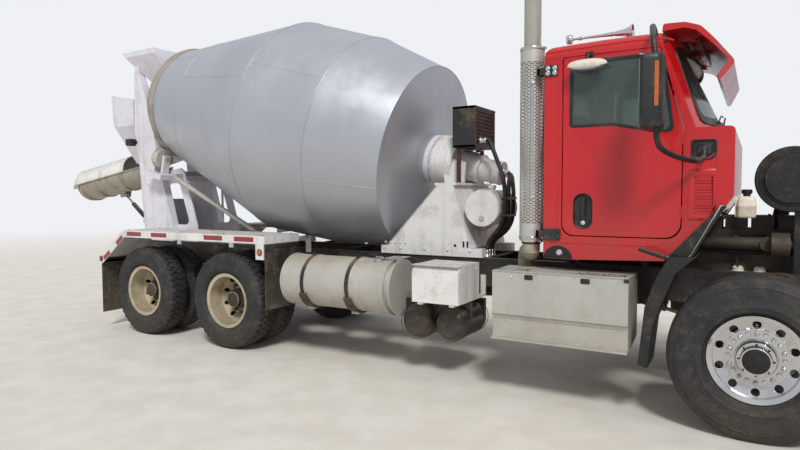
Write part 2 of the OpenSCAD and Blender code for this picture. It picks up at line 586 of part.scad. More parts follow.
module cab_shell() color("#c4161c") difference() {
  cab_skin();
  both() side(cab_w / 2 - 150, cab_w / 2 + 10) polygon(rounded(door_outline(door_gap)));
  screen_cut(0);
  rear_window_cut(0);
  both() side(cab_w / 2 - 12, cab_w / 2 + 10) polygon(rounded([[-426, 1930, 30], [-426, 2046, 30], [-275, 2046, 30],
    [-275, 1960, 20], [-320, 1930, 20]]));
  both() for (z = [1535:22:1785]) block(-404, -288, cab_w / 2 - 14, cab_w / 2 + 10, z, z + 12);
}
module cab_glass() color("#9fb4b8") {
  intersection() {
    difference() {
      cab_form(12);
      cab_form(12 + glass_t);
    }
    screen_cut(fit);
  }
  intersection() {
    rear_window_cut(fit);
    block(-cab_rear + 15, -cab_rear + 15 + glass_t, -600, 600, 2000, 2700);
  }
}
// A door, drawn on the left: the cab's own skin cut at the panel lines, with its window and its glass
module door() color("#c4161c") {
  difference() {
    intersection() {
      side_skin();
      side(cab_w / 2 - 149, cab_w / 2 + 9) polygon(rounded(door_outline(0)));
    }
    side(cab_w / 2 - 160, cab_w / 2 + 20) polygon(rounded(window_outline(0)));
    side(cab_w / 2 - 26, cab_w / 2 + 20) polygon(rounded([[-1266, 1400, 60], [-1266, 1675, 60], [-1120, 1675, 60],
      [-1120, 1400, 60]]));
  }
  side(cab_w / 2 - 24, cab_w / 2 - 24 + glass_t) polygon(rounded(window_outline(fit)));
  for (z = knuckle_zs) translate([door_front_x, cab_w / 2, z]) cylinder(r = door_gap - fit, h = 90);
  side(cab_w / 2 - 27, cab_w / 2 - 2) polygon(rounded([[-1215, 1420, 18], [-1215, 1655, 18], [-1165, 1655, 18],
    [-1165, 1420, 18]]));
}

// Seats, dashboard, steering column and wheel
seat_xs = [-1400, -890];
module seat() {
  block(seat_xs[0] + 120, seat_xs[1] - 60, 260, 700, cab_floor_z + 180, 1580);
  side(220, 740) polygon(rounded([[seat_xs[0] + 60, 1560, 30], [seat_xs[0] + 60, 1650, 40], [seat_xs[0] + 190, 1680, 20],
    [seat_xs[1], 1690, 50], [seat_xs[1], 1570, 30]]));
  side(250, 710) polygon(rounded([[seat_xs[0] + 70, 1610, 20], [seat_xs[0] + 10, 2330, 40], [seat_xs[0] + 100, 2350, 40],
    [seat_xs[0] + 190, 1630, 20]]));
}
module cab_interior() color("#3d3c3b") {
  both() seat();
  side(-cab_w / 2 + cab_wall + 20, cab_w / 2 - cab_wall - 20) polygon(rounded([[-420, 1700, 30], [-600, 1860, 40],
    [-560, 2080, 40], [-400, 2110, 20], [-290, 2060, 20], [cowl_x - cab_wall - fit, 1990, 0],
    [cowl_x - cab_wall - fit, 1700, 0]]));
  rod([-570, 480, 1900], [-735, 480, 2000], 30);
  translate([-735, 480, 2000]) rotate([0, -60, 0]) {
    rotate_extrude() translate([215, 0]) circle(r = 15, $fn = 24);
    cylinder(r = 55, h = 16, center = true);
    for (a = [30, 150, 270]) rotate(a) translate([45, -15, -6]) cube([160, 30, 12]);
  }
  rod([-500, 0, tunnel_top_z + cab_wall + 4], [-640, 40, 2000], 14);
  translate([-640, 40, 2000]) sphere(34);
}

// Sun visor over the windscreen, its stay brackets and the trim on the roof
module visor_profile() polygon(rounded([[-645, 2858, 0], [-640, 2912, 20], [-494, 2905, 60], [-393, 2868, 60],
  [-176, 2645, 40], [-262, 2498, 20], [-290, 2512, 0], [-218, 2648, 30], [-420, 2838, 60], [-500, 2866, 40]]));
// Height of the roof's top at a place along the cab
function roof_z(x) = x < -900 ? cab_roof_z + (x + 900) / 20 : cab_roof_z - (x + 900) * 22 / 360;
module sun_visor() color("#c4161c") {
  intersection() {
    side(-960, 960) visor_profile();
    plan(2400, 2960) polygon(rounded([[-700, -960, 0], [-330, -960, 180], [-120, -560, 420],
      [-120, 560, 420], [-330, 960, 180], [-700, 960, 0]], 10));
  }
  for (y = [-620, 0, 620]) side(y - 12, y + 12) polygon([[-640, 2880], [-500, 2880], [-440, 2830], [-560, roof_z(-560) + fit],
    [-620, roof_z(-620) + fit]]);
}
module roof_horn() color("#d5d6d8") {
  translate([0, -300, 3050]) rotate([0, 90, 0]) rotate_extrude() polygon([[0, -1520], [42, -1520], [42, -1475],
    [10, -1475], [20, -1110], [66, -960], [0, -960]]);
  for (x = [-1400, -1120]) translate([x, -300, roof_z(x) + 1]) cylinder(r = 8, h = 3050 - roof_z(x) - 5);
}

// Mirrors on arms from the roof and the cowl
mirror_xs = [-700, -560];
mirror_ys = [1330, 1560];
mirror_zs = [2105, 2590];
module mirrors() color("#161718") both() {
  plan(mirror_zs[0], mirror_zs[1]) polygon(rounded([[mirror_xs[0], mirror_ys[0], 20], [mirror_xs[1], mirror_ys[0] + 30, 60],
    [mirror_xs[1], mirror_ys[1] - 30, 60], [mirror_xs[0], mirror_ys[1], 20]]));
  tube([[-620, 1440, mirror_zs[1] - 20], [-640, 1420, 2720], [-690, 1100, roof_z(-690) + 23],
    [-690, 880, roof_z(-690) + 23]], 22, [1, 0, 0]);
  tube([[-606, 1440, mirror_zs[0] + 20], [-600, 1420, 2000], [-430, 1180, 1900], [-350, 1090, 1900],
    [-345, 1056, 1985], [-345, cab_w / 2 - 12 + fit, 1985]], 20, [1, 0, 0.3]);
}

// Exhaust stack: its pipe bends in behind the step box, under a guard
stack_x = -1640;
stack_y = -900;
stack_foot_z = 1270;
muffler_z = 730;
guard_h = 1590;
muffler_r = 95;
stack_foot = [stack_x, stack_y, stack_foot_z];
pipe_low = [-1767, stack_y + 250, muffler_z];
module exhaust_stack() color("#a9a7a2") {
  translate([stack_x, stack_y, stack_foot_z]) cylinder(r = exhaust_r, h = exhaust_top_z - stack_foot_z);
  translate([stack_x, stack_y, stack_foot_z + 10]) rotate_extrude() translate([guard_r - 5, 0]) square([5, guard_h]);
  for (a = [30:120:270], z = [20, guard_h - 60]) translate([stack_x, stack_y, stack_foot_z + z]) rotate(a)
    translate([exhaust_r - 4, -12, 0]) cube([guard_r - exhaust_r + 2, 24, 40]);
  tube([stack_foot, stack_foot - [0, 0, 84], pipe_low + [0, 0, 450], pipe_low], exhaust_r, [1, 0, 0]);
  bar_x(muffler_r, -1880, -940, pipe_low[1], muffler_z);
  block(-1492, -1362, -cab_w / 2 - 14, -cab_w / 2, 1303, 1395);
  block(stack_x, -1480, -cab_w / 2 - 14, -cab_w / 2, 1320, 1380);
  block(stack_x - 20, stack_x + 20, -cab_w / 2 - 14, stack_y - guard_r + 4, 1320, 1380);
}

// Step boxes under the doors, drawn on the left
box_y0 = 812;
box_y1 = 1200;
box_xs = [-1866, -810];
module step_boxes() color("#b3b1a9") both() {
  front(box_xs[0], box_xs[1]) polygon([[box_y1, 1050], [box_y1, 700], [box_y1 - 18, 684], [box_y1 - 18, 522],
    [box_y1 + 24, 512], [box_y1 + 24, 496], [box_y1 - 60, 496], [box_y0, 560], [box_y0, 1050]]);
  block(box_xs[0] + 6, box_xs[1] + 4, box_y0, box_y1 + 8, 1050, 1056);
  for (x = [box_xs[0] + 200, box_xs[1] - 180]) {
    block(x, x + 60, rail_y, box_y1 - 80, 880, 900);
    block(x, x + 60, box_y1 - 150, box_y1 - 70, 470, 500);
  }
}
side_box_z = 717;
module side_box() color("#c9c6bb") mirror([0, 1, 0]) {
  front(-2650, -2195) polygon([[1150, 990], [1150, side_box_z], [700, side_box_z], [700, 1050], [1090, 1050]]);
  for (x = [-2600, -2290]) block(x, x + 50, rail_y, 1140, side_box_z - 20, side_box_z);
  for (x = [-2600, -2290]) block(x, x + 50, rail_y, rail_y + 14, side_box_z - 20, 900);
}
module air_tanks() color("#1b1c1d") for (t = [[-2688, 505], [-2355, 515]]) translate([t[0], 0, t[1]]) {
  translate([0, -480, 0]) rotate([90, 0, 0]) rotate_extrude() polygon(rounded([[0, -30, 0], [air_tank_r * 0.7, -20, 40],
    [air_tank_r, 30, 60], [air_tank_r, 490, 60], [air_tank_r * 0.7, 540, 40], [0, 550, 0]]));
  for (y = [-880, -560]) block(-air_tank_r - 6, air_tank_r + 6, y - 20, y + 20, 0, side_box_z - 20 - t[1]);
}
tank_xs = [-4154, -2930];
tank_y = 940;
tank_z = 800;
module fuel_tanks() color("#c3bfb4") both() {
  bar_x(fuel_tank_r, tank_xs[0], tank_xs[1], tank_y, tank_z);
  for (x = [tank_xs[0], tank_xs[1] - 16, tank_xs[1] + 54]) bar_x(fuel_tank_r + 8, x, x + 16, tank_y, tank_z);
  bar_x(fuel_tank_r - 26, tank_xs[1], tank_xs[1] + 60, tank_y, tank_z);
  for (x = [-3900, -3360]) {
    bar_x(fuel_tank_r + 6, x, x + 50, tank_y, tank_z);
    block(x - 12, x + 62, rail_y, tank_y - fuel_tank_r + 60, tank_z - 120, tank_z + 180);
    block(x - 12, x + 62, rail_y, tank_y + 120, tank_z - fuel_tank_r - 22, tank_z - fuel_tank_r + 6);
  }
}

// Guards behind the front wheels, drawn on the left
module guard_outline() polygon([[-374, 1229], [-501, 1107], [-643, 742], [-679, 408], [-742, 429], [-700, 855],
  [-621, 1084], [-537, 1228]]);
module front_mudguards() color("#161616") both() {
  difference() {
    side(850, 1190) guard_outline();
    side(849, 1182) translate([-10, 0]) guard_outline();
  }
  bar_y(18, rail_y, 1184, -655, 880);
  side(cab_w / 2 + fit, cab_w / 2 + 110) polygon([[-556, 1223], [-239, 1584], [-200, 1584], [-402, 1229]]);
}

// Fenders over the drive axles, with their rail, brackets and mud flaps
fender_ys = [690, 1230];
fender_z = 1250;
fender_t = 12;
fender_front_x = mid_x + 597;
fender_bend_x = rear_x - 310;
fender_tail = [rear_x - 793, 888];
module fender_line(t) polygon([[fender_front_x, fender_z], [fender_bend_x, fender_z], fender_tail,
  [fender_tail[0] + t * 0.55, fender_tail[1] - t * 0.8], [fender_bend_x + t * 0.3, fender_z - t],
  [fender_front_x, fender_z - t]]);
// The fenders' bracket tubes run low, clear of the drum
bracket_z = fender_z - fender_t - 52;
module rear_fenders() color("#d2d3d2") both() {
  side(fender_ys[0], fender_ys[1]) fender_line(fender_t);
  side(fender_ys[1] - 14, fender_ys[1]) fender_line(85);
  block(fender_front_x - 110, fender_front_x, fender_ys[1] - 14, fender_ys[1], 1004, fender_z - 10);
  block(fender_front_x, fender_front_x + 14, fender_ys[0], fender_ys[1], fender_z - 85, fender_z);
  for (x = [mid_x + 540, bogie_x, rear_x - 270]) {
    bar_y(26, rail_y, fender_ys[1] - 20, x, bracket_z);
    block(x - 35, x + 35, rail_y, rail_y + 16, rail_top_z - 40, bracket_z + 26);
    for (y = [fender_ys[0] + 30, fender_ys[1] - 60]) block(x - 20, x + 20, y, y + 30, bracket_z, fender_z - fender_t);
  }
}
module mud_flaps() color("#1c1c1c") both() {
  block(fender_front_x + 1, fender_front_x + 9, fender_ys[0] - 10, fender_ys[1] - 16, 480, fender_z - 85);
  block(fender_tail[0] + 13, fender_tail[0] + 23, fender_ys[0], fender_ys[1] - 16, 200, fender_tail[1] - 5.5);
}

// Front pedestal that carries the drum's gearbox
ped_y = 450;
ped_base = [-3417, -2274];
ped_top = [-2755, -2579];
ped_top_z = 1760;
module front_pedestal() color("#d9d9da") difference() {
  front_pedestal_solid();
  on_drum_axis() for (p = drive_steps) translate([0, 0, p[0] - p[2] - fit]) cylinder(r = p[1] + fit, h = p[2] + 2 * fit);
}
module front_pedestal_solid() {
  difference() {
    side(-ped_y, ped_y) polygon([[ped_base[0] + 90, rail_top_z + 84], [ped_base[1] - 120, rail_top_z + 84],
      [ped_top[1], ped_top_z], [ped_top[0], ped_top_z]]);
    side(-ped_y + 12, ped_y - 12) polygon([[ped_base[0] + 70, rail_top_z + 70], [ped_base[1] - 136, rail_top_z + 70],
      [ped_top[1] - 16, ped_top_z - 30], [ped_top[0] - 6, ped_top_z - 30]]);
  }
  front(ped_top[0] - 260, ped_top[0] - 246) difference() {
    polygon([[-ped_y + 6, rail_top_z + 84], [ped_y - 6, rail_top_z + 84], [ped_y - 6, 1440], [-ped_y + 6, 1440]]);
    translate([0, rail_top_z + 84]) circle(r = 250);
  }
  both() block(ped_base[0], ped_base[1], rail_y - rail_flange, ped_y, rail_top_z, rail_top_z + 84);
  block(ped_top[0] - 30, ped_top[1] + 30, -ped_y, ped_y, ped_top_z, ped_top_z + 26);
}

// The drum's axis: local Z runs up it to the rear from the front head, and local X points up from it
drum_x = -3107;
drum_z = 2076;
// A point at a distance along the axis, a height above it and a Y
function on_axis(s, up, y) = [drum_x - s * cos(drum_tilt) + up * sin(drum_tilt), y,
  drum_z + s * sin(drum_tilt) + up * cos(drum_tilt)];
module on_drum_axis() translate([drum_x, 0, drum_z]) rotate([0, drum_tilt - 90, 0]) children();
track_s = 3676;
mouth_s = track_s + 189;
// The middle of the track ring, and a place behind it
ring_x = drum_x - track_s * cos(drum_tilt);
function aft(d) = ring_x - d;
// Sections of the drum: [distance along the axis, radius]
drum_sections = [[-96, 250], [0, head_r], [772, (head_r + drum_r) / 2 + 68], [1700, drum_r], [track_s - 651, 905],
  [track_s, 735], [mouth_s, mouth_r]];
fin_pitch = 700;
module drum_shell() color("#b9bcc2") on_drum_axis() {
  rotate_extrude($fn = 160) polygon(concat([for (p = drum_sections) [p[1], p[0]]],
    [for (i = [len(drum_sections) - 1:-1:0]) [drum_sections[i][1] - drum_t,
      drum_sections[i][0] + (i < 2 ? drum_t : 0)]]));
  rotate_extrude($fn = 160) polygon([[722, track_s - 46], [track_r, track_s - 42], [track_r, track_s + 42],
    [722, track_s + 40]]);
  rotate_extrude($fn = 160) polygon([[mouth_r - 10, mouth_s - 16], [mouth_r + 14, mouth_s - 16], [mouth_r + 14, mouth_s],
    [mouth_r - 10, mouth_s]]);
  translate([0, 0, -151]) cylinder(r = 255, h = 62);
}
// Gearbox and motor: [distance ahead of the flange, radius, length]
drive_steps = [[-152.5, 235, 34], [-185, 272, 235], [-410, 205, 30], [-430, 158, 130], [-530, 150, 140], [-660, 118, 230]];
module drum_drive() color("#d6d6d8") {
  on_drum_axis() {
    for (p = drive_steps) translate([0, 0, p[0] - p[2]]) cylinder(r = p[1], h = p[2]);
    for (a = [0:30:330]) rotate(a) translate([250, 0, -300]) cylinder(r = 16, h = 110, $fn = 6);
  }
  both() side(215, 245) polygon([[ped_top[0] - 20, ped_top_z + 26], [ped_top[1] + 20, ped_top_z + 26],
    [ped_top[1] + 40, 2000], [ped_top[0] - 60, 2060]]);
}
hyd_tank = [-2282, 1537];
hyd_tank_r = 172;
// Place of the front pedestal's front face at a height
function ped_face(z) = ped_base[1] - 120 - (z - rail_top_z - 84) * (ped_base[1] - 120 - ped_top[1]) / (ped_top_z - rail_top_z - 84);
module hydraulic_tank() color("#dcdcdc") {
  bar_y(hyd_tank_r, -450, 60, hyd_tank[0], hyd_tank[1]);
  bar_y(hyd_tank_r + 8, -430, -412, hyd_tank[0], hyd_tank[1]);
  both() side(20, 60) polygon([[ped_face(1300) + fit, 1300], [ped_face(1600) + fit, 1600], [-2400, 1600], [-2300, 1380]]);
}
cooler_xs = [-2628, -2394];
cooler_zs = [2137, 2531];
module oil_cooler() color("#4b3027") {
  difference() {
    block(cooler_xs[0], cooler_xs[1], -350, 150, cooler_zs[0], cooler_zs[1]);
    for (z = [cooler_zs[0] + 40:36:cooler_zs[1] - 50]) block(cooler_xs[1] - 20, cooler_xs[1] + cut, -320, 120, z, z + 22);
    bar_x(150, cooler_xs[0] - cut, cooler_xs[0] + 60, -100, (cooler_zs[0] + cooler_zs[1]) / 2);
  }
  for (y = [-330, 252]) block(-2600, -2560, y, y + 20, ped_top_z + 26, cooler_zs[0]);
  block(-2600, -2560, 142, 272, cooler_zs[0] - 20, cooler_zs[0]);
}
// Each hose as the points it runs through
hose_r = 22;
hose_foot = [cross_xs[2] + cross_flange / 2, cross_top_z + fit];
motor_s = drive_steps[5][0] - drive_steps[5][2];
function hose_end(y) = [[hose_foot[0], y, hose_foot[1] + 150], [hose_foot[0], y, hose_foot[1]]];
hose_paths = [
  concat([on_axis(motor_s - fit, 25, -50), on_axis(motor_s - 90, 25, -50), [-2068, -300, 1740], [-2050, -340, 1380]],
    hose_end(-264)),
  concat([on_axis(motor_s - fit, 0, 50), on_axis(motor_s - 80, 0, 50), [-2056, -180, 1660], [-2050, -240, 1360]],
    hose_end(-200)),
  concat([[cooler_xs[1] + fit, -250, 2200], [cooler_xs[1] + 110, -250, 2200], [-2060, -420, 1800],
    [-2050, -410, 1420]], hose_end(-326))];
module hydraulic_hoses() color("#141414") for (p = hose_paths) tube(p, hose_r, [0, 1, 0]);

// Rear pedestal: slanting columns, the roller beam and the chute's bearings
col_y0 = rail_y - rail_flange;
col_y1 = rail_y + 20;
col_outline = [[aft(569), rail_top_z], [aft(-46), rail_top_z], [aft(313), 2250], [aft(377), 2560], [aft(572), 3151],
  [aft(651), 3330], [aft(741), 3356], [aft(764), 2560], [aft(690), 2250]];
roller_d = track_r + fit + roller_r;
beam_x = -roller_d * cos(roller_angle) - roller_r - 60;
roller_w = 110;
roller_pin_r = 30;
swivel_x = aft(951);
swivel_r = 55;
bearing_zs = [1180, 1480];
bearing_h = 60;
module on_roller(s) on_drum_axis() translate([-roller_d * cos(roller_angle), s * roller_d * sin(roller_angle), track_s])
  children();
module rear_pedestal() color("#cfcfca") difference() {
  union() {
    both() side(col_y0, col_y1) polygon(col_outline);
    both() side(col_y0, col_y0 + 20) difference() {
      polygon([[aft(511), rail_top_z], [aft(-366), rail_top_z], [aft(-366), 1260], [aft(-129), 1990], [aft(-69), 2030],
        [aft(291), 1990]]);
      polygon(rounded([[aft(301), 1280, 60], [aft(-229), 1280, 60], [aft(-39), 1830, 60], [aft(171), 1830, 60]]));
    }
    on_drum_axis() translate([beam_x - 70, -620, track_s - 200]) cube([70, 1240, 330]);
    for (s = [-1, 1], e = [-1, 1]) on_roller(s) translate([beam_x + roller_d * cos(roller_angle) - 5, -50,
      e * (roller_w / 2 + 28) - 20]) cube([-beam_x - roller_d * cos(roller_angle) + 55, 100, 40]);
    block(aft(656), aft(581), -col_y0 - 10, col_y0 + 10, rail_top_z + 30, 1620);
    for (z = bearing_zs) {
      block(swivel_x, aft(591), -85, 85, z, z + bearing_h);
      translate([swivel_x, 0, z]) cylinder(r = 85, h = bearing_h);
    }
  }
  for (s = [-1, 1]) on_roller(s) cylinder(r = roller_pin_r + fit, h = 400, center = true);
  for (z = bearing_zs) translate([swivel_x, 0, z - cut]) cylinder(r = swivel_r + fit, h = bearing_h + 2 * cut);
}
brace_foot_x = -5115;
module braces() color("#b4b6b9") both() {
  rod([aft(-79), col_y1 + 10, 1900], [brace_foot_x + 6, col_y1 + 10, rail_top_z + 130], 30);
  side(col_y0 + 20 + fit, col_y1 + 30) polygon([[aft(-29), 1850], [aft(-129), 1850], [aft(-99), 1950], [aft(-39), 1950]]);
  side(col_y1 - 20, col_y1 + 40) polygon([[brace_foot_x - 75, rail_top_z], [brace_foot_x + 75, rail_top_z],
    [brace_foot_x + 45, rail_top_z + 160], [brace_foot_x - 35, rail_top_z + 160]]);
  block(brace_foot_x - 75, brace_foot_x + 75, rail_y - 60, col_y1 + 40, rail_top_z, rail_top_z + 12);
}
module drum_roller(s) color("#8d8f92") on_roller(s) {
  cylinder(r = roller_r, h = roller_w - 4, center = true);
  cylinder(r = roller_pin_r, h = roller_w + 110, center = true);
}

// Charge hopper over the drum's mouth
function hopper_side(d) = [[aft(920) + 1.4 * d, 3620 + d], [aft(271) - d, 3634 + d], [aft(179) - d, 3300],
  [aft(141) - d, 3080 - d], [aft(371) + 1.3 * d, 3060 - d]];
function hopper_section(d) = [[-500 + d, 3640 + d], [500 - d, 3640 + d], [500 - d, 3560], [240 - d, 3050 - d],
  [-240 + d, 3050 - d], [-500 + d, 3560]];
module hopper_form(d) intersection() {
  side(-600, 600) polygon(hopper_side(d));
  front(aft(1011), aft(11)) polygon(hopper_section(d));
}
module charge_hopper() color("#bdbdb6") {
  difference() {
    hopper_form(0);
    hopper_form(10);
  }
  both() side(col_y0 + 20, col_y1 - 10) polygon([[aft(736), 3357], [aft(656), 3332], [aft(641), 3560],
    [aft(751), 3560]]);
}
// Discharge funnel between and behind the columns
function funnel_side(d) = [[aft(1264) + d, 3084 + d], [aft(751) - d, 2990 + d], [aft(611) - 2 * d, 2640 + d],
  [aft(341) - 2 * d, 2262 + d], [aft(341) - 4 * d, 2240 + d], [aft(831) - 0.5 * d, 2125 - d], [aft(1071) + d, 2125 - d],
  [aft(1243) + d, 2769]];
function funnel_plan(d) = [[aft(1311), -448 + d], [aft(781), -448 + d], [aft(781), -340 + d], [aft(211), -340 + d],
  [aft(211), 340 - d], [aft(781), 340 - d], [aft(781), 448 - d], [aft(1311), 448 - d]];
function funnel_section(d) = [[-448 + d, 3200], [448 - d, 3200], [448 - d, 2640], [190 - d, 2100 - d], [-190 + d, 2100 - d],
  [-448 + d, 2640]];
module funnel_form(d) intersection() {
  side(-460, 460) polygon(funnel_side(d));
  plan(2000, 3300) polygon(funnel_plan(d));
  front(aft(1311), aft(211)) polygon(funnel_section(d));
}
module discharge_funnel() color("#c6c6c0") {
  difference() {
    funnel_form(0);
    funnel_form(10);
  }
  both() block(aft(791), aft(691), 330, col_y0, 2500, 2560);
}

// Ladder and platform at the left of the rear pedestal
ladder_xs = [aft(661), aft(301)];
ladder_post_r = 19;
rail_post_y = 1060;
ladder_y = 690;
platform_z = 2250;
module ladder() color("#a7a9ab") {
  for (x = ladder_xs) translate([x, ladder_y, fender_z + fit]) cylinder(r = ladder_post_r, h = 2100);
  for (z = [fender_z + 260:300:fender_z + 1950]) bar_x(13, ladder_xs[0], ladder_xs[1], ladder_y, z);
  for (z = [1990, 2900]) bar_y(15, col_y1, ladder_y, aft(491), z);
  for (z = [1990, 2900]) bar_x(15, ladder_xs[0], ladder_xs[1], ladder_y, z);
  platform();
}
// The platform and its rail are bolted to the ladder's posts
platform_y = ladder_y + ladder_post_r + fit;
module platform() {
  difference() {
    block(ladder_xs[0], ladder_xs[1] + 80, platform_y, rail_post_y + 20, platform_z, platform_z + 40);
    for (x = [ladder_xs[0] + 30:60:ladder_xs[1] + 40], y = [platform_y + 20:60:rail_post_y - 60])
      translate([x, y, platform_z - cut]) cube([40, 40, 44]);
  }
  for (x = [ladder_xs[0] + 20, ladder_xs[1] + 60]) {
    translate([x, rail_post_y, platform_z]) cylinder(r = 17, h = 960);
    rod([x, platform_y + 12.5, platform_z - 400], [x, rail_post_y, platform_z + 5], 16);
  }
  for (z = [platform_z + 480, platform_z + 950]) bar_x(17, ladder_xs[0] + 20, ladder_xs[1] + 60, rail_post_y, z);
}

// Chute turret, the two chutes and the lift cylinder, all behind the swivel post
pivot_z = 1790;
pivot_r = 20;
rim_up = 290;
// The folded chute's rim rests on the main chute's rim, this far below the pivot line of the two
rim_seat = 2;
lug_y = 118;
lift_base = [swivel_x - 180, 1300];
lift_eye = [-700, -2];
base_pin_r = 16;
// The eye's pin has slack for the rod's drift from it as the chute tilts
eye_pin_r = 9;
eye_bore_r = 18;
// Inner faces of the chute's lugs beside the rod's eye
lift_lug_y = 40;
function tilted(p) = [swivel_x + p[0] * cos(chute_slope) - p[1] * sin(chute_slope),
  pivot_z + p[0] * sin(chute_slope) + p[1] * cos(chute_slope)];
lift_top = tilted(lift_eye);
lift_len = norm(lift_top - lift_base);
module on_chute() translate([swivel_x, 0, pivot_z]) rotate([0, -chute_slope, 0]) children();
module chute_turret() color("#b9b9b2") {
  difference() {
    union() {
      translate([swivel_x, 0, bearing_zs[0] - 20]) cylinder(r = swivel_r, h = 560);
      translate([swivel_x, 0, bearing_zs[1] + bearing_h + fit]) cylinder(r = 82, h = 60);
      block(swivel_x - 60, swivel_x + 60, -lug_y - 30, lug_y + 30, 1640, 1700);
      both() side(lug_y, lug_y + 30) polygon(rounded([[swivel_x - 60, 1660, 0], [swivel_x - 60, pivot_z + 50, 50],
        [swivel_x + 60, pivot_z + 50, 50], [swivel_x + 60, 1660, 0]]));
      both() side(38, 56) polygon([[swivel_x, 1440], [lift_base[0] - 40, lift_base[1] + 35], [lift_base[0] - 40, lift_base[1] - 35],
        [swivel_x, 1270]]);
    }
    bar_y(pivot_r + fit, -200, 200, swivel_x, pivot_z);
    bar_y(base_pin_r + fit, -200, 200, lift_base[0], lift_base[1]);
  }
}
module trough(x0, x1) difference() {
  bar_x(chute_r, x0, x1, 0, 0);
  bar_x(chute_r - chute_t, x0 - cut, x1 + cut, 0, 0);
  block(x0 - 2 * cut, x1 + 2 * cut, -chute_r - cut, chute_r + cut, 0, chute_r + cut);
}
fold_x = -chute_len - 40;
chute_front = 130;
fold_pin_r = 12;
fold_pin_z = -30;
module main_chute() color("#a8a598") on_chute() {
  translate([0, 0, rim_up]) {
    translate([0, 0, -rim_seat]) trough(-chute_len, chute_front);
    both() block(-chute_len, chute_front, chute_r - chute_t, chute_r + 16, -rim_seat - 12, -rim_seat);
    both() difference() {
      block(fold_x - 24, -chute_len + 60, chute_r + 4, chute_r + 16, -60, -rim_seat);
      bar_y(fold_pin_r + fit, chute_r, chute_r + 20, fold_x, fold_pin_z);
    }
  }
  both() side(lug_y - 24, lug_y - 4) polygon([[-60, -40], [60, -40], [120, 66], [-120, 66]]);
  both() side(lift_lug_y, lift_lug_y + 18) polygon([[lift_eye[0] - 40, lift_eye[1] - 36], [lift_eye[0] + 40, lift_eye[1] - 36],
    [lift_eye[0] + 70, 50], [lift_eye[0] - 70, 50]]);
  bar_y(pivot_r, -lug_y - 28, lug_y + 28, 0, 0);
  bar_y(eye_pin_r, -lift_lug_y - 10, lift_lug_y + 10, lift_eye[0], lift_eye[1]);
}
module fold_chute() color("#dadad4") on_chute() translate([0, 0, rim_up]) {
  mirror([0, 0, 1]) translate([0, 0, rim_seat - fit]) trough(fold_x - 20, fold_x + fold_len - 20);
  both() block(fold_x - 24, fold_x + 30, chute_r - chute_t, chute_r, -44, 10);
  bar_y(fold_pin_r, -chute_r - 16, chute_r + 16, fold_x, fold_pin_z);
}
module on_lift() translate([lift_base[0], 0, lift_base[1]])
  rotate([0, -90 + atan2(lift_top[1] - lift_base[1], -(lift_top[0] - lift_base[0])), 0]) children();
lift_barrel_len = 410;
// Place of the rod's inner end along the cylinder as parked
rod_start = 206;
barrel_r = 32;
module lift_barrel() color("#3a3a3a") on_lift() difference() {
  union() {
    rotate([90, 0, 0]) cylinder(r = 32, h = 64, center = true);
    rotate([90, 0, 0]) cylinder(r = base_pin_r, h = 112, center = true);
    cylinder(r = barrel_r, h = lift_barrel_len);
  }
  translate([0, 0, 40]) cylinder(r = 18 + fit, h = lift_barrel_len);
}
module lift_rod() color("#cfd2d4") on_lift() {
  translate([0, 0, rod_start]) cylinder(r = 18, h = lift_len - 18 - rod_start);
  translate([0, 0, lift_len]) rotate([90, 0, 0]) difference() {
    cylinder(r = 30, h = 70, center = true);
    cylinder(r = eye_bore_r, h = 80, center = true);
  }
}

// Hood with its fenders, grille and lamps, drawn closed and turned forward about its hinge
nose_zs = [2215, 1950];
arch_r = front_tyre_r + 110;
fender_y = 1195;
hood_rear_x = cowl_x + 12;
function nose_outline(d) = [[hood_rear_x - (d > 0 ? 20 : 0), 1000], [hood_rear_x - (d > 0 ? 20 : 0), nose_zs[0] - d],
  [1040, nose_zs[1] - d], [1180 - d, nose_zs[1] - 190], [1212 - d, 730 - (d > 0 ? 20 : 0)], [760, 730 - (d > 0 ? 20 : 0)], [600, 1000]];
function nose_plan(d) = [[hood_rear_x - 40, -860 + d], [hood_rear_x - 40, 860 - d], [1040, 640 - d], [1212 - d, 480 - d],
  [1212 - d, -480 + d], [1040, -640 + d]];
function nose_section(d) = [[-900 + d, 600, 0], [900 - d, 600, 0], [900 - d, 1900, 60], [680 - d, nose_zs[0] + 20 - d, 60],
  [-680 + d, nose_zs[0] + 20 - d, 60], [-900 + d, 1900, 60]];
function fender_outline(d) = [[-364 + d, 900], [-364 + d, 1245 - d], [-160 + d, 1598 - d], [150, 1610 - d], [700, 1500 - d],
  [1040, 1340 - d], [1170 - d, 1100], [1185 - d, 700 - (d > 0 ? 20 : 0)], [500, 700 - (d > 0 ? 20 : 0)]];
module nose_form(d) intersection() {
  side(-1000, 1000) polygon(nose_outline(d));
  plan(500, 2400) polygon(nose_plan(d));
  front(hood_rear_x - 60, 1300) polygon(rounded(nose_section(d)));
}
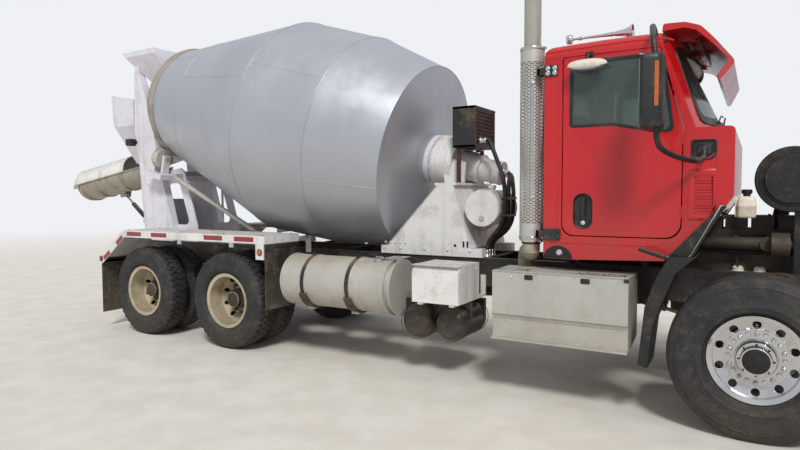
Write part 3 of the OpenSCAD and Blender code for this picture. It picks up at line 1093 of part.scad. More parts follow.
// The fenders start just inside the nose's sides, so the hood opens clear of what stands under it
fender_plan = [[-400, 842], [hood_rear_x - 40, 842], [1040, 622], [1212, 462], [1300, 462], [1300, 1300], [-400, 1300]];
module hood_form(d) {
  nose_form(d);
  both() intersection() {
    side(400, fender_y - d) polygon(fender_outline(d));
    plan(600, 1700) polygon(fender_plan);
  }
}
grille_zs = [860, 1640];
module hood_closed() {
  difference() {
    hood_form(0);
    hood_form(hood_wall);
    both() bar_y(arch_r, 470, fender_y + cut, 0, front_tyre_r);
    for (z = [grille_zs[0]:60:grille_zs[1]]) block(1150, 1230, -430, 430, z, z + 34);
    both() block(1100, 1300, 820, 1120, 960, 1140);
  }
  both() block(1150, 1168, 812, 1128, 952, 1148);
  both() bar_x(78, 1168, 1186, 900, 1050);
  both() bar_x(78, 1168, 1186, 1040, 1050);
  both() difference() {
    block(hinge[0] - 30, 1208, hinge_y - 10, hinge_y + 10, hinge[1] - 20, 800);
    bar_y(hinge_r + fit, hinge_y - 20, hinge_y + 20, hinge[0], hinge[1]);
  }
}
module hood() color("#c4161c") translate([hinge[0], 0, hinge[1]]) rotate([0, hood_open, 0])
  translate([-hinge[0], 0, -hinge[1]]) hood_closed();

placed() frame_rails();
placed() front_axle();
placed() drive_axles();
placed() rear_suspension();
placed() engine();
placed() radiator();
placed() air_cleaner();
placed() coolant_tank();
placed() bumper();
placed() cab_shell();
placed() cab_glass();
placed() cab_interior();
placed() sun_visor();
placed() roof_horn();
placed() mirrors();
placed() exhaust_stack();
placed() step_boxes();
placed() side_box();
placed() air_tanks();
placed() fuel_tanks();
placed() front_mudguards();
placed() rear_fenders();
placed() mud_flaps();
placed() front_pedestal();
placed() drum_drive();
placed() hydraulic_tank();
placed() oil_cooler();
placed() hydraulic_hoses();
placed() rear_pedestal();
placed() braces();
placed() charge_hopper();
placed() discharge_funnel();
placed() ladder();
placed() mirror([0, 1, 0]) knuckle();  // knuckle_right
placed() knuckle();  // knuckle_left
placed() tie_rod();
placed() front_rim(-1);  // front_rim_right
placed() front_tyre(-1);  // front_tyre_right
placed() front_rim(1);  // front_rim_left
placed() front_tyre(1);  // front_tyre_left
placed() twin_rims(mid_x, -1);  // mid_rims_right
placed() twin_tyre_pair(mid_x, -1);  // mid_tyres_right
placed() twin_rims(mid_x, 1);  // mid_rims_left
placed() twin_tyre_pair(mid_x, 1);  // mid_tyres_left
placed() twin_rims(rear_x, -1);  // rear_rims_right
placed() twin_tyre_pair(rear_x, -1);  // rear_tyres_right
placed() twin_rims(rear_x, 1);  // rear_rims_left
placed() twin_tyre_pair(rear_x, 1);  // rear_tyres_left
placed() fan();
placed() mirror([0, 1, 0]) door();  // door_right
placed() door();  // door_left
placed() hood();
placed() drum_shell();
placed() drum_roller(-1);  // drum_roller_right
placed() drum_roller(1);  // drum_roller_left
placed() chute_turret();
placed() main_chute();
placed() fold_chute();
placed() lift_barrel();
placed() lift_rod();
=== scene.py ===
"""Looks of a concrete mixer truck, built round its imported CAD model.

Lengths in the geometry below are millimetres in the truck's own frame, with the front axle at X = 0,
X forward, Y to the driver's left and Z up. piece() turns them into the frame's metres.
"""

import json
import math

import bpy
import numpy as np
from mathutils import Matrix, Vector
from mathutils.geometry import tessellate_polygon


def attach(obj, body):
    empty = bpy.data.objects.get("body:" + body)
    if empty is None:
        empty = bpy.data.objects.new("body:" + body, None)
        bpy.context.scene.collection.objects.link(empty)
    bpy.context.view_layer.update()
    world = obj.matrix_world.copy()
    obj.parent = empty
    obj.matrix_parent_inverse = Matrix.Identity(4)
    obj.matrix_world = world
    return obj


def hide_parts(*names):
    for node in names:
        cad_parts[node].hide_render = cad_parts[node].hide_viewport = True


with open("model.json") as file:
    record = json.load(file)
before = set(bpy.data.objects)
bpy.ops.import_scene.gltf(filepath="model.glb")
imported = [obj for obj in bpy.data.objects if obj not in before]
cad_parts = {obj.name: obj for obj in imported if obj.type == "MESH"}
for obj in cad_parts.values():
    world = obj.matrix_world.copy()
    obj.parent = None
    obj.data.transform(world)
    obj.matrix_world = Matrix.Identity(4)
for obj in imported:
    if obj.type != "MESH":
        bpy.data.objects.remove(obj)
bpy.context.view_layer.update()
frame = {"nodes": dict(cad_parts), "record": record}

FRONT_AXLE_X = 3478.0
RIGHT = -1
LEFT = 1
SIDES = ((RIGHT, "right"), (LEFT, "left"))
rng = np.random.default_rng(11)


# Transforms, as 4 x 4 arrays in the truck's millimetres
def shift(x, y, z):
    m = np.eye(4)
    m[:3, 3] = (x, y, z)
    return m


def turn(axis, degrees):
    c = math.cos(math.radians(degrees))
    s = math.sin(math.radians(degrees))
    m = np.eye(4)
    i, j = {"x": (1, 2), "y": (2, 0), "z": (0, 1)}[axis]
    m[i, i] = c
    m[i, j] = -s
    m[j, i] = s
    m[j, j] = c
    return m


def aim(origin, direction, up=(0, 0, 1)):
    """Local Z along direction, from origin."""
    w = np.array(direction, float)
    w = w / np.linalg.norm(w)
    u = np.cross(np.array(up, float), w)
    if np.linalg.norm(u) < 1e-6:
        u = np.cross(np.array((1.0, 0.0, 0.0)), w)
    u = u / np.linalg.norm(u)
    m = np.eye(4)
    m[:3, 0] = u
    m[:3, 1] = np.cross(w, u)
    m[:3, 2] = w
    m[:3, 3] = origin
    return m


FLIP = np.diag([1.0, -1.0, 1.0, 1.0])
HOME = np.eye(4)
ALONG_X = np.array([[0, 0, 1, 0], [1, 0, 0, 0], [0, 1, 0, 0], [0, 0, 0, 1]], float)
DRUM = shift(-3107, 0, 2076) @ turn("y", 12.95 - 90)
CHUTE = shift(-7640.51, 0, 1790) @ turn("y", -9)
HOOD = shift(1150, 0, 700) @ turn("y", 75) @ shift(-1150, 0, -700)


def wheel_axis(x, y, z, side):
    return shift(x, side * y, z) @ turn("x", -90 * side)


# Mesh building: every shape is (points, faces)
def moved(shape, m):
    v, f = shape
    v = np.asarray(v, float)
    out = v @ m[:3, :3].T + m[:3, 3]
    if np.linalg.det(m[:3, :3]) < 0:
        f = [tuple(reversed(q)) for q in f]
    return out, f


def joined(*shapes):
    verts = []
    faces = []
    base = 0
    for v, f in shapes:
        verts.append(np.asarray(v, float))
        faces.extend(tuple(i + base for i in q) for q in f)
        base += len(v)
    return np.concatenate(verts), faces


def grid(rows, cols, closed=False):
    """Quads between rings of cols points. closed joins the last ring to the first."""
    faces = []
    for i in range(rows if closed else rows - 1):
        j = (i + 1) % rows
        for k in range(cols):
            l = (k + 1) % cols
            faces.append((i * cols + k, i * cols + l, j * cols + l, j * cols + k))
    return faces


def shell_of(rings, start=True):
    """A shell through rings of points, with a cap at its end and, unless told, at its start."""
    n = len(rings[0])
    faces = grid(len(rings), n)
    if start:
        faces.append(tuple(range(n - 1, -1, -1)))
    faces.append(tuple((len(rings) - 1) * n + k for k in range(n)))
    return np.array([q for ring in rings for q in ring]), faces


def circle(r, n, z=0.0):
    """n points round local Z."""
    return [(r * math.cos(a), r * math.sin(a), z) for a in np.linspace(0, 2 * math.pi, n + 1)[:-1]]


def lathe(profile, n=64, arc=360.0, start=0.0, ring=False):
    """Revolves [(radius, z)] about local Z. ring closes the profile on itself."""
    full = arc >= 359.999
    steps = n if full else n + 1
    a = np.radians(start + arc * np.arange(steps) / n)
    p = np.asarray(profile, float)
    count = len(p)
    verts = np.zeros((steps, count, 3))
    verts[:, :, 0] = np.cos(a)[:, None] * p[None, :, 0]
    verts[:, :, 1] = np.sin(a)[:, None] * p[None, :, 0]
    verts[:, :, 2] = p[None, :, 1]
    faces = []
    rows = steps if full else steps - 1
    cols = count if ring else count - 1
    for i in range(rows):
        j = (i + 1) % steps
        for k in range(cols):
            l = (k + 1) % count
            q = (i * count + k, j * count + k, j * count + l, i * count + l)
            if p[k, 0] < 1e-6:
                q = (q[0], q[2], q[3])
            elif p[l, 0] < 1e-6:
                q = (q[0], q[1], q[2])
            faces.append(q)
    return verts.reshape(-1, 3), faces


def smooth_route(points, steps=8):
    """Catmull-Rom curve through the points."""
    p = np.asarray(points, float)
    ext = np.vstack([2 * p[0] - p[1], p, 2 * p[-1] - p[-2]])
    out = []
    for i in range(1, len(ext) - 2):
        a, b, c, d = ext[i - 1 : i + 3]
        for t in np.arange(steps) / steps:
            curve = 2 * b + (c - a) * t + (2 * a - 5 * b + 4 * c - d) * t**2
            out.append(0.5 * (curve + (3 * b - a - 3 * c + d) * t**3))
    out.append(p[-1])
    return np.array(out)


def bent_route(points, radius=60.0, steps=6):
    """Straight legs joined by round bends."""
    p = [np.asarray(q, float) for q in points]
    out = [p[0]]
    for a, b, c in zip(p, p[1:], p[2:]):
        u = (a - b) / np.linalg.norm(a - b)
        v = (c - b) / np.linalg.norm(c - b)
        room = min(radius, 0.48 * np.linalg.norm(a - b), 0.48 * np.linalg.norm(c - b))
        for t in np.linspace(0, 1, steps + 1):
            out.append((1 - t) ** 2 * (b + u * room) + 2 * t * (1 - t) * b + t * t * (b + v * room))
    out.append(p[-1])
    return np.array(out)


def tube(route, r, n=14, closed=False):
    """A tube along route. r may be one radius or one for each point."""
    p = np.asarray(route, float)
    count = len(p)
    radii = np.broadcast_to(np.asarray(r, float), (count,))
    if closed:
        t = np.roll(p, -1, 0) - np.roll(p, 1, 0)
    else:
        t = np.gradient(p, axis=0)
    t = t / np.linalg.norm(t, axis=1)[:, None]
    ref = np.array((0.0, 0.0, 1.0)) if abs(t[0, 2]) < 0.9 else np.array((1.0, 0.0, 0.0))
    u = np.cross(t[0], ref)
    verts = []
    for i in range(count):
        u = u - t[i] * np.dot(u, t[i])
        u = u / np.linalg.norm(u)
        w = np.cross(t[i], u)
        for k in range(n):
            a = 2 * math.pi * k / n
            verts.append(p[i] + radii[i] * (u * math.cos(a) + w * math.sin(a)))
    if closed:
        return np.array(verts), grid(count, n, True)
    return shell_of(np.array(verts).reshape(count, n, 3))


def inset(ring, chamfer, hole=False):
    """An outline wound one way, or the other for a hole, and the same outline drawn in by a chamfer."""
    p = np.asarray(ring, float)
    area = 0.5 * np.sum(p[:, 0] * np.roll(p[:, 1], -1) - np.roll(p[:, 0], -1) * p[:, 1])
    if (area < 0) != hole:
        p = p[::-1]
    nxt = np.roll(p, -1, 0) - p
    nxt = nxt / np.linalg.norm(nxt, axis=1)[:, None]
    prv = np.roll(nxt, 1, 0)
    normal = np.stack([-(nxt[:, 1] + prv[:, 1]), nxt[:, 0] + prv[:, 0]], 1)
    size = np.maximum(np.sum(normal * normal, 1), 0.4)
    return p, p + 2 * chamfer * normal / size[:, None]


def plate(outline, z0, z1, chamfer=2.0):
    """A closed outline in local X and Y between z0 and z1, with chamfered edges."""
    p, inner = inset(outline, chamfer)
    count = len(p)
    levels = [(inner, z0), (p, z0 + chamfer), (p, z1 - chamfer), (inner, z1)]
    verts = np.concatenate([np.column_stack([q, np.full(count, z)]) for q, z in levels])
    faces = [tuple(range(count - 1, -1, -1)), tuple(3 * count + k for k in range(count))]
    return verts, faces + grid(4, count)


def pierced(outline, holes, z0, z1, chamfer=1.5):
    """A plate with holes. Each hole is a closed outline inside the first one."""
    loops = [inset(ring, chamfer, k > 0) for k, ring in enumerate([outline, *holes])]
    flat = [[Vector((q[0], q[1], 0)) for q in inner] for _, inner in loops]
    caps = tessellate_polygon(flat)
    total = sum(len(q) for q, _ in loops)
    verts = []
    for use_inner, z in ((True, z0), (False, z0 + chamfer), (False, z1 - chamfer), (True, z1)):
        for ring, inner in loops:
            src = inner if use_inner else ring
            verts.append(np.column_stack([src, np.full(len(src), z)]))
    verts = np.concatenate(verts)
    faces = []
    for t in caps:
        a, b, c = (verts[i][:2] for i in t)
        up = (b[0] - a[0]) * (c[1] - a[1]) - (b[1] - a[1]) * (c[0] - a[0]) > 0
        t = tuple(t) if up else tuple(reversed(t))
        faces.append(tuple(i + 3 * total for i in t))
        faces.append(tuple(reversed(t)))
    base = 0
    for ring, _ in loops:
        n = len(ring)
        for level in range(3):
            for k in range(n):
                l = (k + 1) % n
                low = level * total + base
                faces.append((low + k, low + l, low + total + l, low + total + k))
        base += n
    return verts, faces


def side_pierced(outline, holes, y0, y1, chamfer=1.5):
    return moved(pierced(outline, holes, -y1, -y0, chamfer), turn("x", 90))


def front_pierced(outline, holes, x0, x1, chamfer=1.5):
    return moved(pierced(outline, holes, x0, x1, chamfer), ALONG_X)


def rounded(points, radius, n=5):
    """Rounds the corners of an outline. radius is one number or one for each corner."""
    p = [np.asarray(q, float) for q in points]
    radii = radius if hasattr(radius, "__len__") else [radius] * len(p)
    out = []
    for i, b in enumerate(p):
        a = p[i - 1]
        c = p[(i + 1) % len(p)]
        r = radii[i]
        if r <= 0:
            out.append(b)
            continue
        u = (a - b) / np.linalg.norm(a - b)
        v = (c - b) / np.linalg.norm(c - b)
        half = math.acos(max(-1.0, min(1.0, float(np.dot(u, v))))) / 2
        room = min(r / math.tan(half), 0.49 * np.linalg.norm(a - b), 0.49 * np.linalg.norm(c - b))
        q = b + u * room
        s = b + v * room
        mid = (u + v) / np.linalg.norm(u + v)
        real = room * math.tan(half)
        centre = b + mid * real / math.sin(half)
        a0 = math.atan2(*(q - centre)[::-1])
        a1 = math.atan2(*(s - centre)[::-1])
        d = (a1 - a0 + math.pi) % (2 * math.pi) - math.pi
        for k in range(n + 1):
            out.append(centre + real * np.array((math.cos(a0 + d * k / n), math.sin(a0 + d * k / n))))
    return np.array(out)


def oblong(w, h, r):
    return rounded([(-w / 2, -h / 2), (w / 2, -h / 2), (w / 2, h / 2), (-w / 2, h / 2)], r)


def block(x0, x1, y0, y1, z0, z1, chamfer=3.0):
    return plate([(x0, y0), (x1, y0), (x1, y1), (x0, y1)], z0, z1, min(chamfer, 0.45 * (z1 - z0)))


def side_plate(outline, y0, y1, chamfer=2.0):
    """An outline in X and Z, extruded along Y."""
    return moved(plate(outline, -y1, -y0, chamfer), turn("x", 90))


def front_plate(outline, x0, x1, chamfer=2.0):
    """An outline in Y and Z, extruded along X."""
    return moved(plate(outline, x0, x1, chamfer), ALONG_X)


def rod(p, q, r, n=20, chamfer=1.5):
    p = np.asarray(p, float)
    q = np.asarray(q, float)
    length = float(np.linalg.norm(q - p))
    c = min(chamfer, 0.4 * r, 0.4 * length)
    shape = lathe([(0, 0), (r - c, 0), (r, c), (r, length - c), (r - c, length), (0, length)], n)
    return moved(shape, aim(p, q - p))


def bolt(p, direction, r=11.0, h=9.0, washer=1.5):
    """A hexagon head on a washer."""
    head = lathe([(0, h + washer), (r * 0.78, h + washer), (r, h + washer - r * 0.15), (r, washer)], 6,
        start=float(p[0]) % 60)
    ring = lathe([(r * 0.6, washer), (r * 1.35, washer), (r * 1.45, washer * 0.4), (r * 1.45, -1.0)], 16)
    return moved(joined(head, ring), aim(p, direction))


def rivet(p, direction, r=6.0, h=3.0):
    profile = [(r * math.cos(a), h * math.sin(a)) for a in np.linspace(0, math.pi / 2, 4)]
    profile[-1] = (0, h)
    return moved(lathe([(r, -1.0)] + profile, 10), aim(p, direction))


def weld(points, r=4.0, n=8, pitch=9.0):
    """A weld bead: a low rippled tube along a route."""
    p = np.asarray(points, float)
    seg = np.linalg.norm(np.diff(p, axis=0), axis=1)
    s = np.concatenate([[0], np.cumsum(seg)])
    count = max(int(s[-1] / (pitch / 2)), 2)
    t = np.linspace(0, s[-1], count + 1)
    route = np.column_stack([np.interp(t, s, p[:, k]) for k in range(3)])
    radii = r * (1 + 0.14 * np.cos(np.arange(count + 1) * math.pi))
    return tube(route, radii, n)


def both(shape):
    """The shape and its mirror image."""
    return joined(shape, moved(shape, FLIP))


def piece(name, shape, material, m=HOME, body="chassis", angle=38.0, hides=()):
    """Makes an object of a shape in truck millimetres, with the given material in its slot."""
    v, f = moved(shape, m)
    v = np.asarray(v, float) + np.array((FRONT_AXLE_X, 0, 0))
    mesh = bpy.data.meshes.new(name)
    mesh.from_pydata((v / 1000.0).tolist(), [], [tuple(q) for q in f])
    mesh.validate()
    mesh.update()
    for polygon in mesh.polygons:
        polygon.use_smooth = True
    mesh.set_sharp_from_angle(angle=math.radians(angle))
    thing = bpy.data.objects.new(name, mesh)
    bpy.context.scene.collection.objects.link(thing)
    thing.data.materials.append(material)
    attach(thing, body)
    if hides:
        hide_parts(*hides)
    return thing


# Materials
def tone(text, gain=1.0):
    """A colour written as six hex digits, in linear light."""
    out = []
    for k in (0, 2, 4):
        c = int(text[k : k + 2], 16) / 255
        c = c / 12.92 if c <= 0.04045 else ((c + 0.055) / 1.055) ** 2.4
        out.append(min(c * gain, 1.0))
    return (*out, 1.0)


# Each material by the name of its slot
FINISHES = {}


class Shader:
    """Short names for the nodes of one material."""

    def __init__(self, name):
        self.material = bpy.data.materials.new(name)
        FINISHES[name] = self.material
        self.material.use_nodes = True
        self.tree = self.material.node_tree
        self.bsdf = self.tree.nodes["Principled BSDF"]
        self.where = self.node("ShaderNodeTexCoord").outputs["Object"]

    def node(self, kind, inputs=None, **settings):
        made = self.tree.nodes.new(kind)
        for key, value in settings.items():
            setattr(made, key, value)
        for key, value in (inputs or {}).items():
            self.put(made.inputs[key], value)
        return made

    def put(self, socket, value):
        if isinstance(value, bpy.types.NodeSocket):
            self.tree.links.new(value, socket)
        else:
            socket.default_value = value

    def look(self, name, value):
        self.put(self.bsdf.inputs[name], value)

    def noise(self, scale, detail=4.0, stretch=(1.0, 1.0, 1.0), at=0.0):
        mapped = self.node("ShaderNodeMapping",
            {"Vector": self.where, "Scale": stretch, "Location": (at, at, at)})
        made = self.node("ShaderNodeTexNoise",
            {"Vector": mapped.outputs[0], "Scale": scale, "Detail": detail, "Roughness": 0.55})
        return made.outputs["Fac"]

    def band(self, value, lo, hi, out0=0.0, out1=1.0):
        ends = {"Value": value, "From Min": lo, "From Max": hi, "To Min": out0, "To Max": out1}
        made = self.node("ShaderNodeMapRange", ends, interpolation_type="SMOOTHSTEP")
        return made.outputs[0]

    def math(self, operation, a, b=0.0):
        made = self.node("ShaderNodeMath", {0: a, 1: b}, operation=operation,
            use_clamp=operation != "SUBTRACT")
        return made.outputs[0]

    def mix(self, factor, a, b):
        made = self.node("ShaderNodeMix", data_type="RGBA")
        self.put(made.inputs[0], factor)
        self.put(made.inputs[6], a)
        self.put(made.inputs[7], b)
        return made.outputs[2]

    def axis(self, which, vector=None):
        made = self.node("ShaderNodeSeparateXYZ", {0: vector or self.where})
        return made.outputs[which]

    def over(self, masks):
        """Combines masks so that each covers what the others leave."""
        total = None
        for mask in masks:
            if total is None:
                total = mask
            else:
                rest = self.math("MULTIPLY", self.math("SUBTRACT", 1.0, total),
                    self.math("SUBTRACT", 1.0, mask))
                total = self.math("SUBTRACT", 1.0, rest)
        return total


def finish(name, base, rough=0.45, metal=0.0, coat=0.0, vary=0.07, patch=1.7, dirt="6e6252", grime=0.25,
    streak=0.0, low=None, top=0.0, edge=None, wear=0.5, grain=90.0, bump=0.12, dent=0.0, cad=True,
    dull=0.9):
    """A painted, plated or moulded surface with the dust, streaks and wear that it has in use."""
    s = Shader(name)
    light = tone(base, 1 + vary)
    dark = tone(base, 1 - vary)
    body = s.mix(s.band(s.noise(patch, 5.0), 0.35, 0.65), dark, light)
    broad = s.noise(patch * 3.1, 7.0, at=3.7)
    fine = s.noise(patch * 17.0, 6.0, at=9.1)
    masks = [s.math("MULTIPLY",
        s.band(s.math("ADD", s.math("MULTIPLY", broad, 0.65), s.math("MULTIPLY", fine, 0.35)), 0.47, 0.66),
        grime)]
    if streak:
        runs = s.noise(1.0, 5.0, (11.0, 11.0, 0.8), 2.3)
        masks.append(s.math("MULTIPLY", s.band(runs, 0.5, 0.74), streak))
    if low:
        height = s.band(s.axis(2), low[1], low[0])
        ragged = s.band(s.noise(5.0, 8.0, at=5.5), 0.25, 0.62, 0.35, 1.0)
        masks.append(s.math("MULTIPLY", s.math("MULTIPLY", height, ragged), low[2]))
    if top:
        up = s.band(s.axis(2, s.node("ShaderNodeNewGeometry").outputs["Normal"]), 0.3, 0.95)
        cover = s.band(s.noise(6.0, 9.0, at=7.7), 0.3, 0.6, 0.3, 1.0)
        masks.append(s.math("MULTIPLY", s.math("MULTIPLY", up, cover), top))
    mask = s.over(masks)
    body = s.mix(mask, body, s.mix(s.band(fine, 0.3, 0.7), tone(dirt, 0.75), tone(dirt, 1.15)))
    normal = None
    if cad:
        soft = s.node("ShaderNodeBevel", {"Radius": 0.004}, samples=4)
        normal = soft.outputs[0]
    if edge:
        hard = s.node("ShaderNodeNewGeometry").outputs["Normal"]
        soft = s.node("ShaderNodeBevel", {"Radius": 0.006}, samples=4).outputs[0]
        same = s.node("ShaderNodeVectorMath", {0: hard, 1: soft}, operation="DOT_PRODUCT").outputs["Value"]
        rubbed = s.math("MULTIPLY", s.band(same, 0.985, 0.86),
            s.band(s.noise(22.0, 6.0, at=1.9), 0.42, 0.6))
        body = s.mix(s.math("MULTIPLY", rubbed, wear), body, tone(edge))
    sheen = s.band(s.noise(patch * 6.0, 6.0, at=6.2), 0.3, 0.7, rough * 0.82, min(rough * 1.2, 1.0))
    cover = s.node("ShaderNodeMix", data_type="FLOAT")
    s.put(cover.inputs[0], mask)
    s.put(cover.inputs[2], sheen)
    cover.inputs[3].default_value = dull
    s.look("Base Color", body)
    s.look("Roughness", cover.outputs[0])
    if metal:
        s.look("Metallic", s.math("MULTIPLY", s.math("SUBTRACT", 1.0, mask), metal))
    if coat:
        s.look("Coat Weight", coat)
        s.look("Coat Roughness", 0.08)
    relief = s.node("ShaderNodeBump",
        {"Strength": bump, "Distance": 0.002, "Height": s.noise(grain, 4.0, at=8.8)})
    if normal is not None:
        s.put(relief.inputs["Normal"], normal)
    if dent:
        wave = s.node("ShaderNodeBump",
            {"Strength": dent, "Distance": 0.02, "Height": s.noise(2.6, 2.0, at=12.0)})
        s.put(wave.inputs["Normal"], relief.outputs[0])
        relief = wave
    s.look("Normal", relief.outputs[0])
    return s.material


def glass(name, base, clear=0.8, rough=0.03):
    """Tinted glass with a film of dust."""
    s = Shader(name)
    film = s.band(s.noise(3.0, 7.0, at=2.2), 0.42, 0.75, 0.0, 0.35)
    s.look("Base Color", s.mix(film, tone(base), tone("b9b3a6")))
    s.look("Roughness", s.band(s.noise(14.0, 5.0), 0.3, 0.8, rough, rough + 0.12))
    s.look("Transmission Weight", clear)
    s.look("IOR", 1.45)
    return s.material


def lens(name, base):
    """A moulded lamp lens or reflector with its grid of prisms."""
    s = Shader(name)
    cells = s.node("ShaderNodeTexVoronoi", {"Vector": s.where, "Scale": 260.0})
    s.look("Base Color",
        s.mix(s.band(cells.outputs["Distance"], 0.0, 0.7), tone(base, 1.3), tone(base, 0.45)))
    s.look("Roughness", s.band(s.noise(30.0, 4.0), 0.3, 0.7, 0.12, 0.3))
    s.look("Coat Weight", 0.7)
    relief = s.node("ShaderNodeBump",
        {"Strength": 0.4, "Distance": 0.002, "Height": cells.outputs["Distance"]})
    s.look("Normal", relief.outputs[0])
    return s.material


RED = finish("red_paint", "bb0c15", 0.3, coat=0.45, vary=0.06, dirt="74503f", grime=0.08,
    low=(1.1, 1.6, 0.3), top=0.22, streak=0.06, bump=0.03)
WHITE = finish("white_paint", "dcdad6", 0.42, vary=0.05, dirt="8b7f6c", grime=0.32, streak=0.35, top=0.45,
    edge="8a5a3c", wear=0.6, bump=0.06)
LILAC = finish("grey_paint", "dad7de", 0.4, vary=0.04, dirt="9a8f84", grime=0.28, streak=0.22, top=0.35,
    edge="7b5f50", wear=0.35, bump=0.06)
finish("bare_steel", "bdbab2", 0.55, metal=0.25, vary=0.1, dirt="7c7163", grime=0.62, streak=0.55, top=0.7,
    edge="5d4636", wear=0.7, bump=0.3)
CHUTE_STEEL = finish("chute_steel", "a8a396", 0.6, metal=0.25, vary=0.14, dirt="8a7a64", grime=0.75,
    streak=0.4, top=0.9, edge="5a4434", wear=0.8, bump=0.5, grain=60)
DRUM_PAINT = finish("drum_silver", "b4b7be", 0.36, metal=0.55, vary=0.05, patch=0.7, dirt="a19a8f",
    grime=0.1, streak=0.12, top=0.1, bump=0.04, dent=0.15, cad=False)
BLACK = finish("chassis_black", "232425", 0.5, vary=0.2, dirt="6b5d4b", grime=0.55, low=(0.3, 1.3, 0.55),
    top=0.75, edge="4a3c30", bump=0.25)
PLASTIC = finish("black_plastic", "191a1b", 0.42, vary=0.15, dirt="75695a", grime=0.22, top=0.4, bump=0.2,
    grain=400)
TANK_BLACK = finish("tank_black", "17181a", 0.28, vary=0.1, dirt="7a6a55", grime=0.2, low=(0.3, 0.65, 0.4),
    top=0.75, bump=0.06)
finish("flap_rubber", "1d1d1d", 0.7, vary=0.2, dirt="7d6f5c", grime=0.5, low=(0.2, 1.3, 0.5), streak=0.3,
    bump=0.3)
IRON = finish("engine_iron", "4b4238", 0.6, metal=0.2, vary=0.25, dirt="2b2620", grime=0.6, top=0.5,
    bump=0.5, edge="7a6a58")
CREAM = finish("cream_plastic", "ddd6c2", 0.4, vary=0.05, dirt="8b7b62", grime=0.3, bump=0.08)
BRIGHT = finish("bright_metal", "c8cacc", 0.2, metal=1.0, vary=0.05, dirt="8a7d6b", grime=0.25,
    low=(0.3, 0.8, 0.3), bump=0.05)
TRIM = finish("cab_trim", "4c4a48", 0.75, vary=0.08, dirt="7d7468", grime=0.2, top=0.2, bump=0.35,
    grain=500)
CHROME = finish("chrome_metal", "dfe1e3", 0.1, metal=1.0, vary=0.03, dirt="8a7d6b", grime=0.16, top=0.12,
    bump=0.02)
EXHAUST = finish("exhaust_steel", "c3beb4", 0.3, metal=0.9, vary=0.08, dirt="8c7b60", grime=0.35,
    low=(1.1, 1.5, 0.8), bump=0.06)
ALUMINIUM = finish("dusty_aluminium", "c3c1ba", 0.42, metal=0.55, vary=0.06, dirt="9a8d78", grime=0.4,
    low=(0.45, 1.0, 0.35), streak=0.3, top=0.75, bump=0.15)
COOLER = finish("cooler_brown", "4c3128", 0.6, metal=0.1, vary=0.25, dirt="2d211b", grime=0.6, streak=0.3,
    bump=0.4, edge="7d6a58")
POLISHED = finish("polished_aluminium", "cfd0d2", 0.22, metal=1.0, vary=0.05, dirt="8f8270", grime=0.32,
    low=(0.2, 0.45, 0.3), bump=0.04)
finish("rim_paint", "b7aa90", 0.55, vary=0.08, dirt="7d6b53", grime=0.55, low=(0.2, 0.55, 0.4), top=0.4,
    edge="5a4434", bump=0.2)
RUBBER = finish("tyre_rubber", "232426", 0.66, vary=0.12, dirt="625646", grime=0.34, low=(0.0, 0.5, 0.35),
    top=0.2, bump=0.25, cad=False, patch=2.6)
GLASS = glass("clear_glass", "7f9490")
HOSE = finish("hose_rubber", "151515", 0.5, vary=0.2, dirt="6b5d4b", grime=0.35, top=0.4, bump=0.2,
    cad=False)
MIRROR = finish("mirror_glass", "c9d2d6", 0.04, metal=1.0, vary=0.02, grime=0.12, bump=0.0, cad=False)
RED_LENS = lens("red_lens", "a8121a")
AMBER_LENS = lens("amber_lens", "d9701a")
CLEAR_LENS = lens("clear_lens", "d8dce0")
GREASE = finish("black_grease", "121110", 0.32, vary=0.3, dirt="3a3026", grime=0.4, bump=0.3, cad=False)

node_slot = {part["node"]: part["material_slot"] for part in frame["record"]["subparts"]}
for name, thing in frame["nodes"].items():
    for held in thing.material_slots:
        held.material = FINISHES[node_slot[name]]


# Camera, in the photograph's frame of 800 x 450
FOCAL_PX = 602.0
YAW = 30.72
PITCH = -2.94
ROLL = -0.21
EYE = (3.4635, -5.7878, 1.675)
camera = bpy.data.cameras.new("camera")
camera.sensor_width = 36.0
camera.lens = FOCAL_PX / 800 * 36.0
camera.clip_end = 500.0
viewer = bpy.data.objects.new("camera", camera)
bpy.context.scene.collection.objects.link(viewer)
cy, sy = math.cos(math.radians(YAW)), math.sin(math.radians(YAW))
cp, sp = math.cos(math.radians(PITCH)), math.sin(math.radians(PITCH))
cr, sr = math.cos(math.radians(ROLL)), math.sin(math.radians(ROLL))
level = np.array((-sy, cy, 0.0))
right = np.array((cy, sy, 0.0))
upward = np.array((0.0, 0.0, 1.0))
ahead = level * cp + upward * sp
tipped = upward * cp - level * sp
side_axis = right * cr + tipped * sr
up_axis = tipped * cr - right * sr
pose = np.eye(4)
pose[:3, 0] = side_axis
pose[:3, 1] = up_axis
pose[:3, 2] = -ahead
pose[:3, 3] = EYE
viewer.matrix_world = Matrix(pose.tolist())
bpy.context.scene.camera = viewer

# Light: a soft sun from the camera's right, a pale sky and a pale floor that fades into it
bpy.context.scene.view_settings.view_transform = "Standard"
sun = bpy.data.lights.new("sun", "SUN")
sun.energy = 2.3
sun.angle = math.radians(12)
lamp = bpy.data.objects.new("sun", sun)
bpy.context.scene.collection.objects.link(lamp)
lamp.matrix_world = Matrix(aim((0, 0, 20), (0.42, -0.62, 0.78)).tolist())
BACKDROP = (0.86, 0.88, 0.9, 1.0)
world = bpy.data.worlds.new("sky")
bpy.context.scene.world = world
world.use_nodes = True
sky = world.node_tree
plain = sky.nodes["Background"]
plain.inputs["Color"].default_value = (0.9, 0.94, 1.0, 1.0)
plain.inputs["Strength"].default_value = 0.62
seen = sky.nodes.new("ShaderNodeBackground")
seen.inputs["Color"].default_value = BACKDROP
path = sky.nodes.new("ShaderNodeLightPath")
either = sky.nodes.new("ShaderNodeMath")
either.operation = "MAXIMUM"
sky.links.new(path.outputs["Is Camera Ray"], either.inputs[0])
